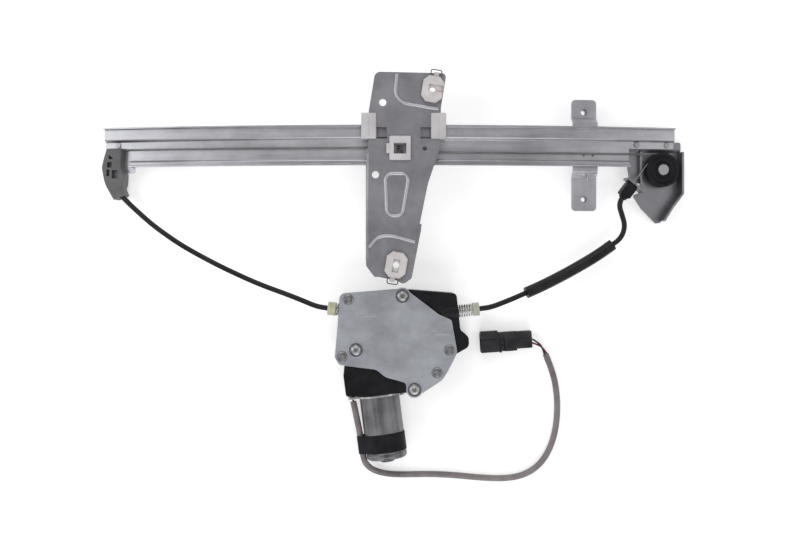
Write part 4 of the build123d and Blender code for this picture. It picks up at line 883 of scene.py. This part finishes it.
# All metals share the first values, and small plain ones the second
metalBasics = {"specks": 0.35, "roughStreaks": 0.10, "roughClouds": 0.14, "bump": 0.12}
plainMetal = {"stretch": (900, 900, 900), "streak": 0.3, "cloud": 0.3, "spangle": 0.0}
metalLooks = {
    "railZinc": {"dark": (0.37, 0.37, 0.40), "light": (0.60, 0.60, 0.635), "rough": 0.42, "paintedShade": 0.75,
                 "stretch": (14, 900, 900), "streak": 0.65, "cloud": 0.55, "spangle": 0.07, "wearAndSheen": 0.3},
    "strapZinc": {"dark": (0.40, 0.40, 0.43), "light": (0.60, 0.60, 0.64), "rough": 0.44, "paintedShade": 0.6,
                  "stretch": (900, 60, 900), "streak": 0.35, "cloud": 0.7, "spangle": 0.14, "wearAndSheen": 0.3},
    "carrierSteel": {"dark": (0.28, 0.275, 0.30), "light": (0.385, 0.38, 0.41), "rough": 0.48, "paintedShade": 0.6,
                     "stretch": (500, 300, 500), "streak": 0.25, "cloud": 0.55, "spangle": 0.22, "wearAndSheen": 0.12,
                     "beadHighlight": 0.62},
    "coverZinc": {"dark": (0.40, 0.41, 0.455), "light": (0.56, 0.575, 0.625), "rough": 0.46, "paintedShade": 1.0,
                  "stretch": (300, 600, 600), "streak": 0.22, "cloud": 0.30, "spangle": 0.16, "wearAndSheen": 0.12},
    "canZinc": {"dark": (0.085, 0.085, 0.092), "light": (0.28, 0.28, 0.29), "rough": 0.50, "paintedShade": 0.8,
                "stretch": (14, 700, 700), "streak": 0.9, "cloud": 0.75, "spangle": 0.10, "wearAndSheen": 0.2,
                "turn": -math.atan2(motorAxis.y, motorAxis.x)},
    "bracketZinc": {"dark": (0.19, 0.19, 0.205), "light": (0.33, 0.33, 0.35), "rough": 0.46, "paintedShade": 0.8,
                    "stretch": (300, 300, 300), "streak": 0.3, "cloud": 0.6, "spangle": 0.12, "wearAndSheen": 0.7},
    "screwZinc": {"dark": (0.46, 0.46, 0.47), "light": (0.66, 0.66, 0.67), "rough": 0.34, "paintedShade": 1.0,
                  "stretch": (900, 900, 200), "streak": 0.3, "cloud": 0.4, "spangle": 0.05, "wearAndSheen": 0.5},
    "rivetZinc": {"dark": (0.19, 0.19, 0.20), "light": (0.36, 0.36, 0.38), "rough": 0.40, "paintedShade": 1.0,
                  "stretch": (900, 900, 200), "streak": 0.3, "cloud": 0.5, "spangle": 0.10, "wearAndSheen": 0.5},
    "turnedSteel": {"dark": (0.26, 0.26, 0.27), "light": (0.44, 0.44, 0.45), "rough": 0.42, "paintedShade": 0.8,
                    "stretch": (900, 900, 200), "streak": 0.3, "cloud": 0.6, "spangle": 0.15, "wearAndSheen": 0.4},
    "ropeSteel": {"dark": (0.16, 0.16, 0.16), "light": (0.34, 0.34, 0.34), "rough": 0.38, "paintedShade": 0.9,
                  "stretch": (500, 1500, 1500), "streak": 0.4, "cloud": 0.3, "spangle": 0.0},
    "springSteel": {**plainMetal, "dark": (0.46, 0.46, 0.45), "light": (0.72, 0.72, 0.70),
                    "rough": 0.32, "paintedShade": 0.9},
    "loopWire": {**plainMetal, "dark": (0.10, 0.10, 0.10), "light": (0.22, 0.22, 0.22), "rough": 0.36},
    "weldSteel": {**plainMetal, "dark": (0.50, 0.50, 0.50), "light": (0.80, 0.80, 0.79), "rough": 0.32,
                  "cloud": 0.5, "wearAndSheen": 0.3},
    "copperWire": {**plainMetal, "dark": (0.50, 0.22, 0.11), "light": (0.78, 0.42, 0.26), "rough": 0.32},
    "bronze": {**plainMetal, "dark": (0.42, 0.30, 0.13), "light": (0.68, 0.52, 0.26), "rough": 0.34,
               "wearAndSheen": 0.2},
    "ferrite": {"dark": (0.06, 0.06, 0.065), "light": (0.13, 0.13, 0.14), "rough": 0.6,
                "stretch": (500, 500, 500), "streak": 0.3, "cloud": 0.5, "spangle": 0.0, "wearAndSheen": 0.2},
}


def makeMetal(name):
    look = metalLooks[name]
    material, tree, shader = newMaterial(name)
    rolled = placeGroup(tree, "rolledGrain", Stretch=look["stretch"], Turn=look.get("turn", 0.0))
    handled = placeGroup(tree, "handling")
    streaks = rolled.outputs["Streaks"]
    clouds = handled.outputs["Clouds"]
    share = weighted(tree, 0.5, (streaks, look["streak"]), (clouds, look["cloud"]),
                     (handled.outputs["Spangle"], look["spangle"]))
    colour = mixColours(tree, share, look["dark"], look["light"])
    specks = mathNode(tree, "MULTIPLY", handled.outputs["Specks"], metalBasics["specks"])
    colour = mixColours(tree, specks, colour, toned(look["dark"], tones["specks"]))
    # painted highlight: the carrier's beads are lighter across their whole width
    if "beadHighlight" in look:
        amount = mathNode(tree, "MULTIPLY", paintedBeadHighlightMask(tree), look["beadHighlight"])
        colour = mixColours(tree, amount, colour, toned(look["light"], tones["beadHighlight"]))
    # edges lighter, partly from wear and partly as painted sheen
    if "wearAndSheen" in look:
        wornAndSheen = placeGroup(tree, "edgeWearAndSheen")
        amount = mathNode(tree, "MULTIPLY", wornAndSheen.outputs["Mask"], look["wearAndSheen"])
        colour = mixColours(tree, amount, colour, toned(look["light"], tones["wornAndSheen"]))
    # base colour with painted shade in the corners
    tree.links.new(withPaintedCornerShade(tree, colour, look), shader.inputs["Base Color"])
    shader.inputs["Metallic"].default_value = 1.0
    roughness = weighted(tree, look["rough"], (streaks, metalBasics["roughStreaks"]),
                         (clouds, metalBasics["roughClouds"]))
    tree.links.new(roughness, shader.inputs["Roughness"])
    bumped(tree, shader, rolled.outputs["Grain"], metalBasics["bump"])
    return material


plasticBasics = {"cloudScale": 30.0, "flow": 0.6, "clouds": 0.5, "edgeReach": 0.0005, "gloss": 0.3,
                 "roughClouds": 0.16, "roughPebbles": 0.2}
palePlastic = {"pebble": 1000.0, "bump": 0.12, "wearAndSheen": 0.3}
# a look's worn colour is its edge colour, partly wear and partly painted sheen
plasticLooks = {
    "housingBlack": {"dark": (0.007, 0.007, 0.008), "light": (0.017, 0.017, 0.020), "rough": 0.42,
                     "gloss": 0.12, "pebble": 1400.0, "bump": 0.25, "wearAndSheen": 0.35,
                     "wornAndSheen": (0.075, 0.075, 0.08)},
    "plugBlack": {"dark": (0.013, 0.013, 0.015), "light": (0.048, 0.048, 0.053), "rough": 0.44,
                  "gloss": 0.25, "pebble": 1400.0, "bump": 0.25, "wearAndSheen": 0.5, "wornAndSheen": (0.09, 0.09, 0.095)},
    "conduitBlack": {"dark": (0.010, 0.010, 0.011), "light": (0.026, 0.025, 0.026), "rough": 0.38,
                     "gloss": 0.2, "pebble": 900.0, "bump": 0.2},
    "guideGrey": {"dark": (0.088, 0.085, 0.088), "light": (0.155, 0.150, 0.155), "rough": 0.45,
                  "pebble": 1200.0, "bump": 0.22, "wearAndSheen": 0.3, "wornAndSheen": (0.35, 0.35, 0.36)},
    "shoeWhite": {**palePlastic, "dark": (0.50, 0.48, 0.50), "light": (0.64, 0.62, 0.63), "rough": 0.40,
                  "wornAndSheen": (0.74, 0.73, 0.74)},
    "clipIvory": {**palePlastic, "dark": (0.57, 0.535, 0.53), "light": (0.74, 0.71, 0.705),
                  "rough": 0.38, "wearAndSheen": 0.2, "wornAndSheen": (0.80, 0.78, 0.76)},
    "ferruleCream": {**palePlastic, "dark": (0.46, 0.44, 0.30), "light": (0.66, 0.64, 0.48),
                     "rough": 0.42, "bump": 0.15, "wornAndSheen": (0.76, 0.75, 0.62)},
    "capClear": {**palePlastic, "dark": (0.42, 0.41, 0.35), "light": (0.62, 0.61, 0.54), "rough": 0.36,
                 "bump": 0.15, "wornAndSheen": (0.74, 0.73, 0.66)},
    "gearWhite": {**palePlastic, "dark": (0.60, 0.58, 0.54), "light": (0.75, 0.73, 0.68),
                  "rough": 0.40, "wearAndSheen": 0.2, "wornAndSheen": (0.80, 0.79, 0.75)},
    "clothTape": {"dark": (0.008, 0.008, 0.011), "light": (0.020, 0.020, 0.025), "rough": 0.52,
                  "gloss": 0.12, "pebble": 700.0, "bump": 0.4},
    "sheathGrey": {"dark": (0.150, 0.132, 0.136), "light": (0.27, 0.242, 0.246), "rough": 0.50,
                   "pebble": 500.0, "bump": 0.3},
    "wireBlack": {"dark": (0.010, 0.010, 0.010), "light": (0.022, 0.022, 0.022), "rough": 0.35,
                  "pebble": 900.0, "bump": 0.1},
    "wireRed": {"dark": (0.14, 0.010, 0.020), "light": (0.27, 0.022, 0.040), "rough": 0.35,
                "pebble": 900.0, "bump": 0.1},
    "carbonBlock": {"dark": (0.02, 0.02, 0.02), "light": (0.05, 0.05, 0.05), "rough": 0.55,
                    "pebble": 1600.0, "bump": 0.4, "wearAndSheen": 0.2, "wornAndSheen": (0.12, 0.12, 0.12)},
    "softRubber": {"dark": (0.018, 0.018, 0.018), "light": (0.035, 0.035, 0.035), "rough": 0.65,
                   "pebble": 1200.0, "bump": 0.3},
}


def makePlastic(name):
    look = plasticLooks[name]
    material, tree, shader = newMaterial(name)
    skin = placeGroup(tree, "mouldedSkin", Pebble_Scale=look["pebble"])
    handled = placeGroup(tree, "handling", Cloud_Scale=plasticBasics["cloudScale"])
    pebbles = skin.outputs["Pebbles"]
    clouds = handled.outputs["Clouds"]
    share = weighted(tree, 0.5, (skin.outputs["Flow"], plasticBasics["flow"]),
                     (clouds, plasticBasics["clouds"]))
    colour = mixColours(tree, share, look["dark"], look["light"])
    # edges lighter, partly from wear and partly as painted sheen
    if "wearAndSheen" in look:
        wornAndSheen = placeGroup(tree, "edgeWearAndSheen", Reach=plasticBasics["edgeReach"])
        amount = mathNode(tree, "MULTIPLY", wornAndSheen.outputs["Mask"], look["wearAndSheen"])
        colour = mixColours(tree, amount, colour, look["wornAndSheen"])
    # base colour with painted shade in the corners
    tree.links.new(withPaintedCornerShade(tree, colour, look), shader.inputs["Base Color"])
    shader.inputs["Specular IOR Level"].default_value = look.get("gloss", plasticBasics["gloss"])
    roughness = weighted(tree, look["rough"], (clouds, plasticBasics["roughClouds"]),
                         (pebbles, plasticBasics["roughPebbles"]))
    tree.links.new(roughness, shader.inputs["Roughness"])
    bumped(tree, shader, pebbles, look["bump"])
    return material


materials = {name: makeMetal(name) for name in metalLooks}
materials.update({name: makePlastic(name) for name in plasticLooks})
print("materials made:", len(materials))


# Which solids and which new pieces wear each material
finishOf = {
    "railZinc": ["guide_rail"],
    "strapZinc": ["rail_mount_strap"],
    "bracketZinc": ["right_end_bracket"],
    "carrierSteel": ["carrier_plate"],
    "coverZinc": ["cover_plate"],
    "canZinc": ["motor_can", "armature_core"],
    "screwZinc": ["motor_flange"],
    "turnedSteel": ["strap_weld_nuts", "left_guide_rivet", "bracket_rivets", "pulley_pin", "cable_nipples",
                    "output_shaft", "worm", "armature_shaft"],
    "ropeSteel": ["left_inner_cable", "right_inner_cable", "drum_cable_wraps"],
    "springSteel": ["brush_springs"],
    "loopWire": ["upper_clip_loop", "lower_clip_loop"],
    "copperWire": ["armature_windings", "commutator"],
    "bronze": ["pulley_bush", "motor_end_bush", "connector_terminals"],
    "ferrite": ["motor_magnets"],
    "housingBlack": ["drum_housing", "housing_back", "pulley", "conduit_stop", "brush_holder"],
    "conduitBlack": ["left_conduit", "right_conduit", "conduit_sleeve"],
    "guideGrey": ["left_cable_guide"],
    "shoeWhite": ["left_shoe", "right_shoe", "centre_slider"],
    "clipIvory": ["upper_glass_clip", "lower_glass_clip"],
    "gearWhite": ["cable_drum", "worm_wheel"],
    "wireRed": ["lead_port_wires"],
    "carbonBlock": ["brushes"],
    "softRubber": ["damper"],
}
finishOfNew = {
    "sheathGrey": [sheath], "wireBlack": wires[:1], "wireRed": wires[1:], "plugBlack": [plugHousing],
    "springSteel": springs, "ferruleCream": caps[:1], "capClear": caps[1:], "screwZinc": [driveScrews],
    "rivetZinc": [rivetHeads], "ropeSteel": cableRuns, "weldSteel": [strapWelds], "clothTape": [tapeWrap],
    "canZinc": [canEnd], "ferrite": [pressMarks], "railZinc": [sheetPieces["railEndTab"]],
    # the carrier's edge strip wears the lighter strap zinc as a painted highlight
    "strapZinc": [sheetPieces["carrierEdgeHighlightStrip"]],
    "shoeWhite": [sheetPieces["leftShoeStrip"], sheetPieces["rightShoeStrip"]],
}


def dress(piece, name):
    piece.data.materials.clear()
    piece.data.materials.append(materials[name])


for finish, nodes in finishOf.items():
    for node in nodes:
        dress(frame["nodes"][node], finish)
for finish, pieces in finishOfNew.items():
    for piece in pieces:
        dress(piece, finish)
print("nodes dressed")


# Table and light
studio = {
    "tableSize": 6.0, "tableColour": (0.90, 0.90, 0.90), "tableShade": 0.985, "tableClouds": 3.0,
    "tableRough": 0.8, "tableGlow": 0.40, "worldStrength": 0.42,
    "lamps": [
        # name, place, size, power in watts
        ("front", (0.15, -1.45, 1.15), 1.1, 11.0),
        ("left", (-1.50, 0.15, 1.10), 1.0, 9.0),
        ("back", (-0.20, 1.45, 1.20), 1.0, 7.0),
        ("right", (1.50, 0.05, 1.10), 1.0, 4.0),
    ],
}


def makeStudio():
    scene = bpy.context.scene
    world = bpy.data.worlds.new("studioWorld")
    world.use_nodes = True
    world.node_tree.nodes["Background"].inputs["Color"].default_value = (1, 1, 1, 1)
    world.node_tree.nodes["Background"].inputs["Strength"].default_value = studio["worldStrength"]
    scene.world = world
    scene.view_settings.view_transform = "Standard"
    bpy.ops.mesh.primitive_plane_add(size=studio["tableSize"], location=(0, 0, 0))
    table = bpy.context.object
    table.name = "table"
    material, tree, shader = newMaterial("tableTop")
    handled = placeGroup(tree, "handling", Cloud_Scale=studio["tableClouds"])
    shade = mixColours(tree, handled.outputs["Clouds"], studio["tableColour"],
                       toned(studio["tableColour"], studio["tableShade"]))
    tree.links.new(shade, shader.inputs["Base Color"])
    shader.inputs["Roughness"].default_value = studio["tableRough"]
    shader.inputs["Emission Color"].default_value = (1, 1, 1, 1)
    shader.inputs["Emission Strength"].default_value = studio["tableGlow"]  # lit from below, as a light table
    table.data.materials.append(material)
    for name, place, size, power in studio["lamps"]:
        light = bpy.data.lights.new(name, "AREA")
        light.size = size
        light.energy = power
        lamp = bpy.data.objects.new(name, light)
        scene.collection.objects.link(lamp)
        lamp.location = place
        lamp.rotation_euler = (-Vector(place)).to_track_quat("-Z", "Y").to_euler()


makeStudio()
print("studio lit")
